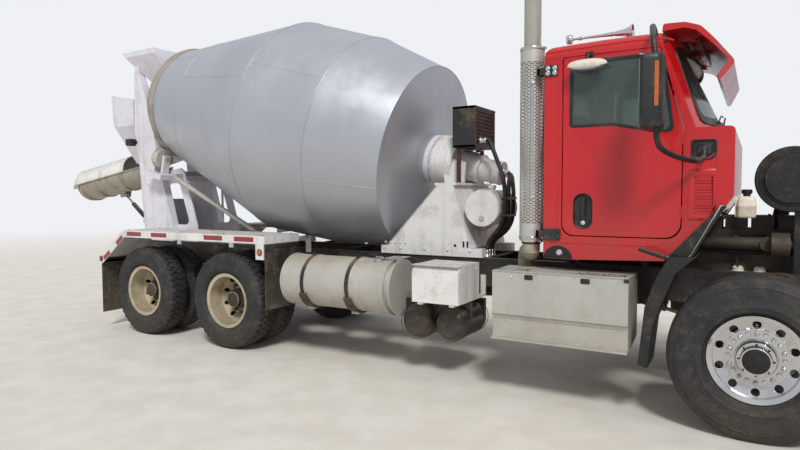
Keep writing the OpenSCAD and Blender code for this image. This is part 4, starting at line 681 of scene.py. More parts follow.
sky.links.new(path.outputs["Is Transmission Ray"], either.inputs[1])
pick = sky.nodes.new("ShaderNodeMixShader")
sky.links.new(either.outputs[0], pick.inputs[0])
sky.links.new(plain.outputs[0], pick.inputs[1])
sky.links.new(seen.outputs[0], pick.inputs[2])
sky.links.new(pick.outputs[0], sky.nodes["World Output"].inputs["Surface"])

ground = Shader("floor")
distance = ground.node("ShaderNodeVectorMath", {0: ground.where}, operation="LENGTH").outputs["Value"]
speckle = ground.band(ground.noise(3.0, 8.0), 0.3, 0.7)
ground.look("Base Color", ground.mix(speckle, tone("cfc8bc"), tone("d9d3c8")))
ground.look("Roughness", 0.9)
far = ground.node("ShaderNodeEmission", {"Color": BACKDROP})
fade = ground.node("ShaderNodeMixShader", {0: ground.band(distance, 9.0, 30.0)})
ground.tree.links.new(ground.bsdf.outputs[0], fade.inputs[1])
ground.tree.links.new(far.outputs[0], fade.inputs[2])
ground.tree.links.new(fade.outputs[0], ground.tree.nodes["Material Output"].inputs["Surface"])
disc = bpy.data.meshes.new("floor")
disc.from_pydata(circle(90, 64), [], [tuple(range(64))])
floor = bpy.data.objects.new("floor", disc)
bpy.context.scene.collection.objects.link(floor)
floor.data.materials.append(ground.material)


# Tyres: a lathed sidewall with a tread cut into the crown
TREADS = {
    "steer": {"pitches": 72, "grooves": (-96, -34, 34, 96), "groove_half": 6.5, "depth": 12.0, "slot": 0.10,
        "slot_depth": 3.5, "edge": 128},
    "drive": {"pitches": 46, "grooves": (-58, 0, 58), "groove_half": 6.0, "depth": 17.0, "slot": 0.24,
        "slot_depth": 13.0, "edge": 104},
}


def tyre(r, w, rim_w, kind, low_r=298.0):
    """One tyre about local Z: sidewall rings, shoulder lugs and tread blocks with real grooves."""
    t = TREADS[kind]
    half = w / 2
    side = [
        (low_r - 10, rim_w / 2 - 12),
        (low_r + 3, rim_w / 2 - 12),
        (low_r + 10, rim_w / 2 - 8),
        (low_r + 18, rim_w / 2 - 2),
        (low_r + 21, rim_w / 2 + 4),
        (low_r + 30, half - 9),
        (low_r + 45, half - 4.5),
        (low_r + 62, half - 1.5),
        (low_r + 64, half + 0.2),
        (low_r + 67, half + 0.2),
        (low_r + 69, half - 0.8),
        ((r + low_r) / 2 - 8, half + 0.3),
        ((r + low_r) / 2 + 12, half - 0.6),
        ((r + low_r) / 2 + 34, half - 4.5),
        (r - 72, half - 9.0),
        (r - 70, half - 6.5),
        (r - 66, half - 7.0),
        (r - 64, half - 11.0),
        (r - 46, half - 16.0),
        (r - 30, half - 23.0),
    ]
    edge = t["edge"]
    g = t["groove_half"]
    stops = [-edge]
    for c in t["grooves"]:
        stops += [c - g, c - g + 2.5, c + g - 2.5, c + g]
    stops.append(edge)
    cols = []
    for a, b in zip(stops, stops[1:]):
        parts = max(1, int(round((b - a) / 16)))
        cols += [a + (b - a) * k / parts for k in range(parts)]
    cols.append(edge)
    shoulder = [(r - 17, half - 31.0), (r - 8, half - 41.0)]
    section = side + shoulder + [(None, z) for z in reversed(cols)]
    section += [(q[0], -q[1]) for q in reversed(shoulder)] + [(q[0], -q[1]) for q in reversed(side)]
    steps = [0.0, 0.07, 0.5 - t["slot"] / 2, 0.5 - t["slot"] / 2 + 0.07, 0.5 + t["slot"] / 2 - 0.07,
        0.5 + t["slot"] / 2, 0.8]
    if kind == "steer":
        steps = [0.0, 0.5 - t["slot"] / 2, 0.5 + t["slot"] / 2]
    angles = np.array([(k + s) / t["pitches"] for k in range(t["pitches"]) for s in steps])
    count = len(angles)
    verts = np.zeros((count, len(section), 3))
    for j, (radius, z) in enumerate(section):
        drop = np.zeros(count)
        if radius is None:
            radius = r - 11.0 * (abs(z) / edge) ** 3
            grooved = min(abs(z - c) for c in t["grooves"]) < g - 1.0
            row = sum(z > c for c in t["grooves"])
            phase = (angles * t["pitches"] + 0.5 * (row % 2)) % 1.0
            if kind == "drive":
                near = np.abs(phase - 0.5) < t["slot"] / 2 - 0.03
                drop = np.where(near, t["slot_depth"], 0.0)
            else:
                near = np.abs(phase - 0.5) < 0.06
                drop = np.where(near & (min(abs(z - c) for c in t["grooves"]) < g + 12),
                    t["slot_depth"], 0.0)
            if grooved:
                drop = np.full(count, t["depth"])
        elif r - 50 < radius < r - 1 and kind == "drive":
            row = len(t["grooves"]) if z > 0 else 0
            phase = (angles * t["pitches"] + 0.5 * (row % 2)) % 1.0
            near = np.abs(phase - 0.5) < t["slot"] / 2 - 0.03
            drop = np.where(near, 9.0 * (radius - r + 50) / 50, 0.0)
        rr = radius - drop
        zz = z - np.sign(z) * drop * (0.6 if radius < r - 15 else 0.0)
        verts[:, j, 0] = np.cos(2 * math.pi * angles) * rr
        verts[:, j, 1] = np.sin(2 * math.pi * angles) * rr
        verts[:, j, 2] = zz
    faces = []
    n = len(section)
    for i in range(count):
        i2 = (i + 1) % count
        for k in range(n - 1):
            faces.append((i * n + k, i2 * n + k, i2 * n + k + 1, i * n + k + 1))
    return verts.reshape(-1, 3), [tuple(reversed(q)) for q in faces]


TWIN_ROWS = ((-4946.0, "mid"), (-6328.0, "rear"))
FRONT_Y, FRONT_R = 1027, 560
TWIN_Y, TWIN_R = 913, 526
front_tyre = tyre(FRONT_R, 410.0, 320.0, "steer")
drive_tyre = tyre(TWIN_R, 270.0, 215.0, "drive")
twin = joined(moved(drive_tyre, shift(0, 0, 165)), moved(drive_tyre, shift(0, 0, -165) @ turn("z", 3.1)))
for side, word in SIDES:
    hub = wheel_axis(0, FRONT_Y, FRONT_R, side)
    piece("tyre_front_" + word, front_tyre, RUBBER, hub, body="front_wheel_" + word, angle=50,
        hides=["front_tyre_" + word])
    for x, row in TWIN_ROWS:
        hub = wheel_axis(x, TWIN_Y, TWIN_R, side) @ turn("z", float(rng.uniform(0, 30)))
        piece(f"tyres_{row}_{word}", twin, RUBBER, hub, body=f"{row}_wheels_{word}", angle=50,
            hides=[f"{row}_tyres_{word}"])


# Drum: plate sections with their weld seams, the track ring and the mixing fins inside
SECTIONS = [(-96, 250), (0, 960), (772, 1173), (1700, 1250), (3025, 905), (3676, 735), (3865, 650)]


def drum_radius(s):
    return float(np.interp(s, [p[0] for p in SECTIONS], [p[1] for p in SECTIONS]))


outer = [(0, -97), (250, -96), (940, -6), (957, -1), (960, 3)]
for (s0, r0), (s1, r1) in zip(SECTIONS[1:], SECTIONS[2:]):
    cuts = 6
    for k in range(cuts):
        u = (k + (0.02 if k == 0 else 0)) / cuts
        outer.append((r0 + (r1 - r0) * u, s0 + (s1 - s0) * u))
    outer.append((r0 + (r1 - r0) * 0.99, s0 + (s1 - s0) * 0.99))
outer += [(650, 3865), (642, 3865), (727, 3676), (897, 3025), (1242, 1700), (1165, 772), (952, 8),
    (242, -88), (0, -88)]
seams = []
for s, r in SECTIONS[1:6]:
    seams.append(tube(circle(r, 180, s), 4.5, 8, closed=True))
LENGTHS = [(0, 772, (8, 128, 248)), (772, 1700, (60, 180, 300)), (1700, 3025, (22, 112, 202, 292)),
    (3025, 3640, (75, 195, 315))]
for s0, s1, places in LENGTHS:
    for a in places:
        c, d = math.cos(math.radians(a)), math.sin(math.radians(a))
        line = [(drum_radius(s) * c, drum_radius(s) * d, s) for s in np.linspace(s0 + 4, s1 - 4, 12)]
        seams.append(weld(line, 3.6, 6, 12))
fins = []
for start in (0.0, 180.0):
    a = np.linspace(0, 2.4 * math.pi, 90)
    s = 2100 + (3780 - 2100) * a / a[-1]
    strip = []
    for angle, place in zip(a, s):
        reach = drum_radius(place) - 9
        for radius in (reach, reach - 210):
            t = angle + math.radians(start)
            strip.append((radius * math.cos(t), radius * math.sin(t),
                place + (25 if radius < reach else 0)))
    faces = []
    for k in range(len(a) - 1):
        faces += [(2 * k, 2 * k + 1, 2 * k + 3, 2 * k + 2)]
    back = [(x, y, z + 8) for x, y, z in strip]
    n = len(strip)
    faces += [tuple(i + n for i in reversed(q)) for q in list(faces)]
    for k in range(len(a) - 1):
        faces += [(2 * k + 1, 2 * k + 1 + n, 2 * k + 3 + n, 2 * k + 3)]
    fins.append((np.array(strip + back), faces))
track = lathe([(728, 3630), (752, 3632), (760, 3640), (760, 3712), (752, 3718), (718, 3716)], 180,
    ring=True)
lip = lathe([(640, 3849), (660, 3849), (664, 3853), (664, 3862), (660, 3865), (640, 3865)], 160, ring=True)
piece("drum_body", joined(lathe(outer, 192), *seams), DRUM_PAINT, DRUM, body="drum", angle=22,
    hides=["drum_shell"])
piece("drum_track", joined(track, lip), CHUTE_STEEL, DRUM, body="drum")
piece("drum_fins", joined(*fins), CHUTE_STEEL, DRUM, body="drum")
flange = [lathe([(0, -152), (252, -152), (256, -148), (256, -94), (246, -90), (0, -90)], 96)]
for k in range(16):
    a = 2 * math.pi * k / 16
    flange.append(bolt((225 * math.cos(a), 225 * math.sin(a), -151), (0, 0, -1), 15, 12))
piece("drum_flange", joined(*flange), LILAC, DRUM, body="drum")


# Cab: doors with their glass and handles, window gaskets, mouldings, louvres and mirror pockets
CAB_Y = 1020.0


def outline_of(rows):
    return rounded([(x, z) for x, z, _ in rows], [r for _, _, r in rows])


def door_outline(e):
    rows = [(-1350 - e, 1345 - e, 90), (-1350 - e, 2735 + e, 30), (-652 + e, 2735 + e, 30),
        (-490 + e, 2150, 30)]
    return outline_of(rows + [(-490 + e, 1345 - e, 110)])


def window_outline(e):
    rows = [(-1288 + e, 2199 + e, 30), (-1288 + e, 2688 - e, 40), (-632 - e, 2688 - e, 40),
        (-554 - e, 2128 + e, 40)]
    return outline_of(rows + [(-684, 2132 + e, 60), (-965, 2199 + e, 60)])


HANDLE = oblong(142, 272, 68) + np.array((-1189, 1536))


def door(side, word):
    m = FLIP if side == RIGHT else HOME
    body = "door_" + word
    skin = side_pierced(door_outline(0), [window_outline(0), HANDLE], 998, CAB_Y, 2.5)
    inner = side_pierced(door_outline(-22), [window_outline(-6)], 976, 999, 4)
    knuckles = [rod((-490, CAB_Y, z), (-490, CAB_Y, z + 90), 6.6, 16) for z in (1490, 2020)]
    piece("door_skin_" + word, joined(skin, *knuckles), RED, m, body=body, angle=40, hides=["door_" + word])
    piece("door_inner_" + word, inner, TRIM, m, body=body, angle=40)
    seal = side_pierced(window_outline(-13), [window_outline(9)], 1004, CAB_Y + 2.5, 2.0)
    piece("door_seal_" + word, seal, PLASTIC, m, body=body, angle=40)
    pane = side_plate(window_outline(1), 1004.5, 1010.5, 1.0)
    piece("door_glass_" + word, pane, GLASS, m, body=body, angle=40)
    cup = []
    rings = [(1.0, 0.0), (1.055, 0.0), (1.06, 1.5), (0.985, 2.5), (0.95, -4), (0.9, -17), (0.8, -20)]
    centre = HANDLE.mean(0)
    for k, depth in rings:
        cup.append([(centre[0] + (q[0] - centre[0]) * k, CAB_Y + depth,
            centre[1] + (q[1] - centre[1]) * (1 + (k - 1) * 0.55)) for q in HANDLE])
    lever_rows = outline_of([(-1207, 1462, 16), (-1207, 1640, 16), (-1173, 1640, 16), (-1173, 1462, 16)])
    lever = side_plate(lever_rows, 1004, 1016, 4)
    piece("door_cup_" + word, joined(shell_of(cup, False), lever), PLASTIC, m, body=body, angle=50)
    lock = lathe([(0, 4), (7, 4), (9, 3), (10, 0), (17, 0), (18, -2), (18, -6)], 24)
    piece("door_lock_" + word, moved(lock, aim((-1190, 1005, 1446), (0, 1, 0))), CHROME, m, body=body)
    rest_rows = outline_of([(-1180, 1700, 30), (-1200, 1800, 30), (-800, 1850, 40), (-760, 1790, 30)])
    rest = side_plate(rest_rows, 940, 977, 10)
    pull = tube(smooth_route([(-900, 976, 1900), (-900, 945, 1925), (-900, 945, 2000), (-900, 976, 2030)]),
        11, 10)
    piece("door_armrest_" + word, joined(rest, pull), TRIM, m, body=body)


for side, word in SIDES:
    door(side, word)

SCREEN_R = (2040.0**2 / 4 + 155.0**2) / 310.0
LEAN = math.radians(20)


def on_screen(y, z, proud=0.0):
    """The point of the windscreen's outer face at a width and a height."""
    a = math.sqrt((SCREEN_R + proud) ** 2 - y * y) - SCREEN_R
    h = (z - 2161 - a * math.sin(LEAN)) / math.cos(LEAN)
    return (-246 + a * math.cos(LEAN) - h * math.sin(LEAN), y, z)


def screen_band(e0, e1, proud, base):
    """A band on the windscreen between two insets of its outline, standing proud of the glass."""
    loops = []
    for e, lift in ((e0, base), (e0, proud), (e1, proud), (e1, base)):
        rows = [(-870 + e, 2225 + e, 60), (870 - e, 2225 + e, 60), (800 - e, 2735 - e, 90),
            (-800 + e, 2735 - e, 90)]
        ring = outline_of(rows)
        dense = []
        for a, b in zip(ring, np.roll(ring, -1, 0)):
            parts = max(1, int(np.linalg.norm(b - a) / 60))
            dense += [a + (b - a) * k / parts for k in range(parts)]
        loops.append([on_screen(y, z, lift) for y, z in dense])
    counts = [len(q) for q in loops]
    n = min(counts)
    if len(set(counts)) > 1:
        fixed = []
        for ring in loops:
            p = np.array(ring)
            seg = np.linalg.norm(np.roll(p, -1, 0) - p, axis=1)
            s = np.concatenate([[0], np.cumsum(seg)])
            t = np.linspace(0, s[-1], n, endpoint=False)
            p = np.vstack([p, p[:1]])
            fixed.append(np.column_stack([np.interp(t, s, p[:, k]) for k in range(3)]))
        loops = fixed
    return np.concatenate([np.array(q) for q in loops]), grid(4, n, True)


piece("screen_gasket", screen_band(-42, 16, 7, -4), PLASTIC, angle=60)
rear_rows = [(-460, 2160, 50), (460, 2160, 50), (460, 2600, 50), (-460, 2600, 50)]


def rear_outline(e):
    return outline_of([(r[0] - math.copysign(e, r[0]), r[1] + (e if r[1] < 2300 else -e), r[2])
        for r in rear_rows])


piece("rear_window_gasket", front_pierced(rear_outline(-16), [rear_outline(12)], -1506, -1484, 2), PLASTIC)

cab_lines = []
for y in (-1, 1):
    for z, x0, x1, r in ((2742, -1494, -600, 4.0), (2728, -1494, -640, 3.0)):
        cab_lines.append(tube([(x, y * (CAB_Y - 1.0), z) for x in np.linspace(x0, x1, 10)], r, 8))
    gutter = [(-1496, y * 1017, 2792), (-1200, y * 1017, 2800), (-900, y * 1015, 2806),
        (-640, y * 1010, 2796), (-560, y * 1000, 2770)]
    drip = []
    for x, yy, z in smooth_route(gutter, 6):
        edge = 900 + math.sqrt(max(120.0**2 - (min(z, 2861) - 2742) ** 2, 0))
        drip.append((x, math.copysign(edge, yy), z))
    cab_lines.append(tube(drip, 7, 8))
    cab_lines.append(tube([(-1390, y * CAB_Y, z) for z in np.linspace(1290, 2700, 10)], 2.6, 6))
    cab_lines.append(tube([(-468, y * CAB_Y, z) for z in np.linspace(1440, 2120, 10)], 2.6, 6))
    cab_lines.append(tube([(x, y * CAB_Y, 1283) for x in np.linspace(-1440, -640, 10)], 4.0, 8))
    cab_lines.append(tube([(-268, y * CAB_Y, z) for z in np.linspace(1500, 2120, 8)], 2.6, 6))
    frame_rows = outline_of([(-449, 1480, 20), (-449, 1846, 20), (-263, 1846, 20), (-263, 1600, 20),
        (-330, 1480, 20)])
    hole = outline_of([(-407, 1517, 8), (-407, 1796, 8), (-287, 1796, 8), (-287, 1517, 8)])
    surround = side_pierced(frame_rows, [hole], CAB_Y - 1, CAB_Y + 2.5, 1.5)
    cab_lines.append(moved(surround, HOME if y > 0 else FLIP))
piece("cab_mouldings", joined(*cab_lines), RED, angle=50)

mesh_panels = []
for i in range(8):
    for k in range(17):
        cell = [(-403 + 15 * i, 1521 + 16 * k), (-391 + 15 * i, 1521 + 16 * k),
            (-391 + 15 * i, 1533 + 16 * k), (-403 + 15 * i, 1533 + 16 * k)]
        mesh_panels.append(np.array(cell))
louvre = side_pierced(np.array([(-407, 1517), (-287, 1517), (-287, 1796), (-407, 1796)]), mesh_panels,
    CAB_Y - 5, CAB_Y - 1, 0.8)
piece("cab_louvres", both(louvre), RED)

pocket_rim = outline_of([(-436, 1912, 34), (-436, 2056, 24), (-265, 2056, 24), (-265, 1940, 30),
    (-300, 1905, 30)])
pocket_hole = outline_of([(-420, 1930, 26), (-420, 2044, 18), (-280, 2044, 18), (-280, 1950, 24),
    (-312, 1922, 24)])
pocket = side_pierced(pocket_rim, [pocket_hole], CAB_Y - 10, CAB_Y + 3, 3)
back_rows = outline_of([(-428, 1922, 26), (-428, 2050, 20), (-272, 2050, 20), (-272, 1946, 26)])
pocket_back = side_plate(back_rows, CAB_Y - 14, CAB_Y - 8, 2)
piece("mirror_pockets", both(joined(pocket, pocket_back)), PLASTIC)


# Exhaust: a pipe in a slotted guard, its elbows, silencer, clamps and brackets
STACK = (-1640.0, -900.0)
SILENCER_Y, SILENCER_Z = -650, 730
EAR_TURN = -15


def slotted_guard(r, wall, z0, low, high, z1, slots=13, pitch=14.5):
    """A round guard about local Z: rows of staggered slots between two plain bands."""
    rows = int((high - low) / pitch)
    levels = [z0, (z0 + low) / 2]
    for k in range(rows):
        levels += [low + k * pitch, low + k * pitch + 8.0]
    levels += [high, (high + z1) / 2, z1]
    cols = slots * 6
    a = 2 * math.pi * np.arange(cols) / cols
    verts = []
    for radius in (r, r - wall):
        for z in levels:
            verts.append(np.column_stack([radius * np.cos(a), radius * np.sin(a), np.full(cols, z)]))
    count = len(levels) * cols
    faces = []

    def is_open(i, j):
        if i < 2 or i >= 2 + 2 * rows or i % 2:
            return False
        return (j + 3 * ((i // 2) % 2)) % 6 < 4

    for i in range(len(levels) - 1):
        for j in range(cols):
            k = (j + 1) % cols
            p, q, s, t = i * cols + j, i * cols + k, (i + 1) * cols + k, (i + 1) * cols + j
            if not is_open(i, j):
                faces.append((p, q, s, t))
                faces.append((p + count, t + count, s + count, q + count))
                continue
            faces.append((p, p + count, q + count, q))
            faces.append((t, s, s + count, t + count))
            if not is_open(i, j - 1):
                faces.append((p, t, t + count, p + count))
            if not is_open(i, j + 1):
                faces.append((q, q + count, s + count, s))
    top = (len(levels) - 1) * cols
    for j in range(cols):
        k = (j + 1) % cols
        faces.append((j, j + count, k + count, k))
        faces.append((top + j, top + k, top + k + count, top + j + count))
    return np.concatenate(verts), faces


stack_at = shift(STACK[0], STACK[1], 0)
pipe = lathe([(64, 1180), (69, 1180), (69, 3585), (71, 3590), (71, 3598), (68, 3600), (64, 3598),
    (62, 3590), (62, 1200)], 64, ring=True)
elbow_route = bent_route([(*STACK, 1276), (*STACK, 1186), (-1767, SILENCER_Y, 1180),
    (-1767, SILENCER_Y, 740)], 150, 14)
elbow = tube(elbow_route, 72, 36)
silencer = moved(
    lathe([(0, 0), (70, 2), (88, 10), (95, 26), (95, 160), (97, 164), (95, 168), (95, 772), (97, 776),
    (95, 780), (95, 914), (88, 930), (70, 938), (0, 940)], 56),
    shift(-1880, SILENCER_Y, SILENCER_Z) @ turn("y", 90))
tail = moved(lathe([(40, -14), (60, -14), (60, 8), (40, 8)], 40, ring=True),
    shift(-940, SILENCER_Y, SILENCER_Z) @ turn("y", 90))
piece("exhaust_pipe", joined(moved(pipe, stack_at), elbow, silencer, tail), EXHAUST, angle=40,
    hides=["exhaust_stack"])
guard = moved(slotted_guard(98.0, 2.5, 1284, 1432, 2752, 2872), stack_at)
piece("exhaust_guard", guard, ALUMINIUM, angle=30)
facing = math.radians(-72)
strip_at = (STACK[0] + 101 * math.cos(facing), STACK[1] + 101 * math.sin(facing))
strip = moved(block(-9, 9, -2.5, 2.5, 1650, 2556, 1.2), shift(strip_at[0], strip_at[1], 0) @ turn("z", 18))
strip_bolts = [bolt((strip_at[0], strip_at[1], z), (math.cos(facing), math.sin(facing), 0), 12, 10)
    for z in (1640, 2566)]
bands = []
for z, r, h in ((1272, 80, 26), (1300, 101, 22), (2846, 101, 22)):
    bands.append(
        moved(lathe([(r - 8, z), (r, z), (r + 1.5, z + 2), (r + 1.5, z + h - 2), (r, z + h),
        (r - 8, z + h)], 64, ring=True), stack_at))
    c, d = math.cos(math.radians(EAR_TURN)), math.sin(math.radians(EAR_TURN))
    ear = (STACK[0] + (r + 10) * c, STACK[1] + (r + 10) * d, z + h / 2)
    bands.append(moved(block(-14, 14, -16, 16, -h / 2 + 2, h / 2 - 2, 3),
        shift(*ear) @ turn("z", EAR_TURN)))
    bands.append(rod((ear[0] - 30 * d, ear[1] - 30 * abs(c), ear[2]),
        (ear[0] + 30 * d, ear[1] + 30 * abs(c), ear[2]), 5, 10))
piece("exhaust_bands", joined(strip, *strip_bolts, *bands), BRIGHT)
joint = moved(lathe([(70, 1258), (78, 1258), (80, 1262), (80, 1270), (70, 1272)], 48, ring=True), stack_at)
piece("exhaust_gasket", joint, GREASE)
holders = []
for z0, z1, x1 in ((1303, 1395, -1362), (2604, 2690, -1397)):
    plan = outline_of([(-1500, z0, 8), (x1, z0, 8), (x1, z1, 8), (-1500, z1, 8)])
    holders.append(side_plate(plan, -1035, -1020.5, 2))
    holders.append(block(-1556, -1480, -1034, -1021, z0 + 16, z1 - 16, 2))
    holders.append(block(-1558, -1538, -1034, -922, z0 + 16, z1 - 16, 2))
    holders += [bolt((x1 - 18, -1035, z), (0, -1, 0), 11, 8) for z in (z0 + 22, z1 - 22)]
piece("exhaust_brackets", joined(*holders), BLACK)
upper_bolts = [bolt((x, -1036, z), (0, -1, 0), 13, 10) for x in (-1415, -1470) for z in (2628, 2666)]
piece("exhaust_bracket_bolts", joined(*upper_bolts), CHROME)

# Mirrors: housings, glass, arms, lamps and the small mirror over the right door
MIRROR_Y = 1445.0
LOOK_DOWN_X = -1150
SHELL_PLAN = [(-700, 1330), (-560, 1360), (-560, 1530), (-700, 1560)]
shell = rounded(SHELL_PLAN, [20, 60, 60, 20], 7)
levels = [(2105, 0.80), (2108, 0.90), (2118, 0.97), (2140, 1.0), (2350, 1.012), (2550, 1.0), (2574, 0.975),
    (2586, 0.92), (2590, 0.82)]
centre = np.array((-652.0, MIRROR_Y))
rings = []
for z, k in levels:
    spread = [centre + (q - centre) * k for q in shell]
    rings.append([(min(x, centre[0] + 92), y, z) for x, y in spread])
housing = shell_of(rings)
upper_arm = tube(
    bent_route([(-620, 1440, 2566), (-640, 1420, 2720), (-690, 1100, 2872), (-690, 1000, 2850),
    (-690, 950, 2815)], 70, 8), 21, 18)
lower_arm = tube(
    smooth_route([(-606, 1440, 2125), (-604, 1434, 2040), (-580, 1400, 1975), (-500, 1270, 1925),
    (-400, 1130, 1900), (-352, 1075, 1918), (-345, 1052, 1970), (-345, 1010, 1985)], 8), 19, 18)
collar = joined(rod((-619, 1440, 2570), (-622, 1438, 2600), 30, 24),
    rod((-606, 1440, 2090), (-606, 1440, 2122), 27, 24))
foot = side_plate(outline_of([(-392, 1944, 18), (-392, 2026, 18), (-298, 2026, 18), (-298, 1944, 18)]),
    1009, 1022, 4)
strip_shape = moved(plate(oblong(286, 62, 28), 0, 34, 10),
    shift(-748, 968, 2786) @ turn("x", -52) @ turn("z", 3))
piece("mirror_housings", both(joined(housing, upper_arm, lower_arm, collar, foot, strip_shape)), PLASTIC,
    angle=45, hides=["mirrors"])
flat = moved(plate(oblong(166, 300, 18), 0, 4, 1.5),
    shift(-702.5, MIRROR_Y, 2415) @ turn("y", -90) @ turn("z", 90))
bulge = lathe([(0, 11), (30, 10), (55, 7), (70, 3), (76, 0)], 40)
curved = moved(bulge, shift(-699, MIRROR_Y, 2180) @ turn("y", -90))
piece("mirror_glass", both(joined(flat, curved)), MIRROR)
lens_shape = moved(plate(oblong(26, 290, 8), 0, 5, 2),
    shift(-598, 1541, 2388) @ turn("z", -12) @ turn("x", -90))
piece("mirror_lamps", both(lens_shape), AMBER_LENS)
cap = []
for k in range(7):
    for j in range(9):
        u, v = k / 6, j / 8
        cap.append((-704 + 74 * u, 1340 + 212 * v - 14 * u,
            2590 + 17 * math.sin(math.pi * v) * (1 - 0.75 * u * u) - 26 * u * u))
cap_faces = [(k * 9 + j, (k + 1) * 9 + j, (k + 1) * 9 + j + 1, k * 9 + j + 1) for k in range(6)
    for j in range(8)]
lower = [(x, y, z - 6) for x, y, z in cap]
cap_faces += [tuple(i + 63 for i in reversed(q)) for q in list(cap_faces)]
edge_loop = [*range(9), *range(17, 63, 9), *range(61, 53, -1), *range(45, 0, -9)]
cap_faces += [(a, a + 63, b + 63, b) for a, b in zip(edge_loop, edge_loop[1:] + edge_loop[:1])]
piece("mirror_caps", both((np.array(cap + lower), cap_faces)), BRIGHT, angle=60)
dome = lathe([(1.0, 0.0), (0.985, 0.25), (0.92, 0.5), (0.78, 0.75), (0.55, 0.92), (0.25, 0.99),
    (0, 1.0)], 40)
bowl = lathe([(0, -1.0), (0.3, -0.97), (0.6, -0.8), (0.85, -0.45), (0.97, -0.1), (0.97, 0.0)], 40)
tilt = shift(LOOK_DOWN_X, -1100, 2644) @ turn("x", 18)
piece("look_down_shell", moved(moved(dome, np.diag([150.0, 62.0, 46.0, 1.0])), tilt), CREAM, angle=60)
arm_rows = ((-1018, 2740), (-1050, 2730), (-1085, 2700), (-1098, 2672))
arm = tube(smooth_route([(LOOK_DOWN_X, y, z) for y, z in arm_rows]), 10, 12)
piece("look_down_glass", moved(moved(bowl, np.diag([148.0, 60.0, 44.0, 1.0])), tilt), MIRROR,
    angle=60)
piece("look_down_arm", joined(arm, block(-1180, -1120, -1026, -1010, 2716, 2762, 3)), PLASTIC)

# Roof: horn and visor lamps
HORN_Y, HORN_Z = -300, 3050
horn = [(0, 0), (40, 0), (42, 4), (42, 40), (38, 45), (12, 47), (10.5, 60), (11, 160), (14, 300), (20, 410),
    (31, 490), (47, 540), (63, 558), (66, 560), (66, 556)]
bell = [(44, 532), (28, 486), (17, 410), (0, 400)]
trumpet = moved(lathe(horn + bell, 48), shift(-1520, HORN_Y, HORN_Z) @ turn("y", 90))
posts = []
for x, z0 in ((-1400, 2858), (-1120, 2878)):
    posts.append(rod((x, HORN_Y, z0), (x, HORN_Y, HORN_Z - 8), 7, 14))
    posts.append(moved(lathe([(11, 0), (18, 0), (18, 20), (11, 20)], 24, ring=True),
        shift(x - 10, HORN_Y, HORN_Z) @ turn("y", 90)))
    posts.append(moved(lathe([(0, 10), (10, 9), (26, 3), (28, 0)], 24), shift(x, HORN_Y, z0)))
piece("horn_trumpet", joined(trumpet, *posts), CHROME, angle=45, hides=["roof_horn"])
lens_profile = lathe([(0, 21), (14, 20), (25, 15), (30, 6), (31, 0)], 28)
base_profile = lathe([(30, 6), (35, 5), (37, 0), (37, -4)], 28)
for name, shape, material in (("visor_lamps", lens_profile, AMBER_LENS),
    ("visor_lamp_bases", base_profile, PLASTIC)):
    row = [moved(moved(shape, np.diag([0.8, 1.25, 1.0, 1.0])), aim((-430, y, 2886), (0.45, 0, 1)))
        for y in (-780, -390, 0, 390, 780)]
    piece(name, joined(*row), material)


# Struts behind the front wheels, a dark plate painted as the shade of the side lamp recess, and the grab
# rod
strut = side_plate([(-432, 1226), (-408, 1226), (-228, 1581), (-206, 1590), (-236, 1590), (-412, 1240)],
    1040, 1131, 2)
piece("strut_edges", both(strut), ALUMINIUM)
rubber_edge = tube([(-404, 1133, 1228), (-340, 1133, 1352), (-270, 1133, 1488), (-204, 1133, 1582)], 9, 10)
piece("strut_rubber", both(rubber_edge), PLASTIC)
red_strut = side_plate([(-520, 1262), (-470, 1262), (-278, 1512), (-316, 1520)], 1022, 1042, 4)
piece("strut_cover", both(red_strut), RED)
grab = joined(rod((-750, 1150, 1272), (-560, 1150, 1214), 17, 20, 5),
    rod((-575, 1150, 1218), (-548, 1150, 1208), 24, 20, 4))
piece("grab_rods", both(grab), PLASTIC)
# Painted shade: the recess is a thin dark half-disc on the cab side, not a hollow
arch = [(-1499, 1156), (-1266, 1156)] + [(-1382 + 116 * math.cos(a), 1156 + 104 * math.sin(a))
    for a in np.linspace(0.1, math.pi - 0.1, 16)]
piece("lamp_recess_shade", both(side_plate(arch, 1019, 1022.5, 1)), GREASE)
small_lamp = moved(lathe([(0, 26), (16, 24), (24, 14), (26, 0)], 24), aim((-1370, 1018, 1205), (0, 1, 0)))
piece("recess_lamps", both(small_lamp), CLEAR_LENS)

# Wipers
wipers = []
for y in (-560, 60):
    pivot = on_screen(y, 2180, 12)
    knee = on_screen(y + 220, 2240, 34)
    tip = on_screen(y + 470, 2290, 30)
    wipers.append(tube(smooth_route([pivot, on_screen(y + 80, 2196, 34), knee, tip]), 7, 8))
    wipers.append(rod(on_screen(y, 2172, -4), on_screen(y, 2178, 30), 17, 18))
    blade = [on_screen(y + 60 + 62 * k, 2215 + 12 * k + 26 * math.sin(k / 2.6), 15) for k in range(10)]
    wipers.append(tube(blade, 6, 6))
piece("wipers", joined(*wipers), PLASTIC)

# Hubs: nuts, caps, rim rings and valves
NUT_CIRCLE = 167


def nuts(profile, z, twist):
    """The ten wheel nuts of a hub."""
    made = []
    for k in range(10):
        a = math.radians(36 * k + 18)
        nut = lathe(profile, 6, start=float(twist * k))
        made.append(moved(nut, shift(NUT_CIRCLE * math.cos(a), NUT_CIRCLE * math.sin(a), z)))
    return joined(*made)


def capped(cap, r, z, size, height):
    """A hub's cap with its eight bolts."""
    return joined(cap, *[bolt(p, (0, 0, 1), size, height) for p in circle(r, 8, z)])


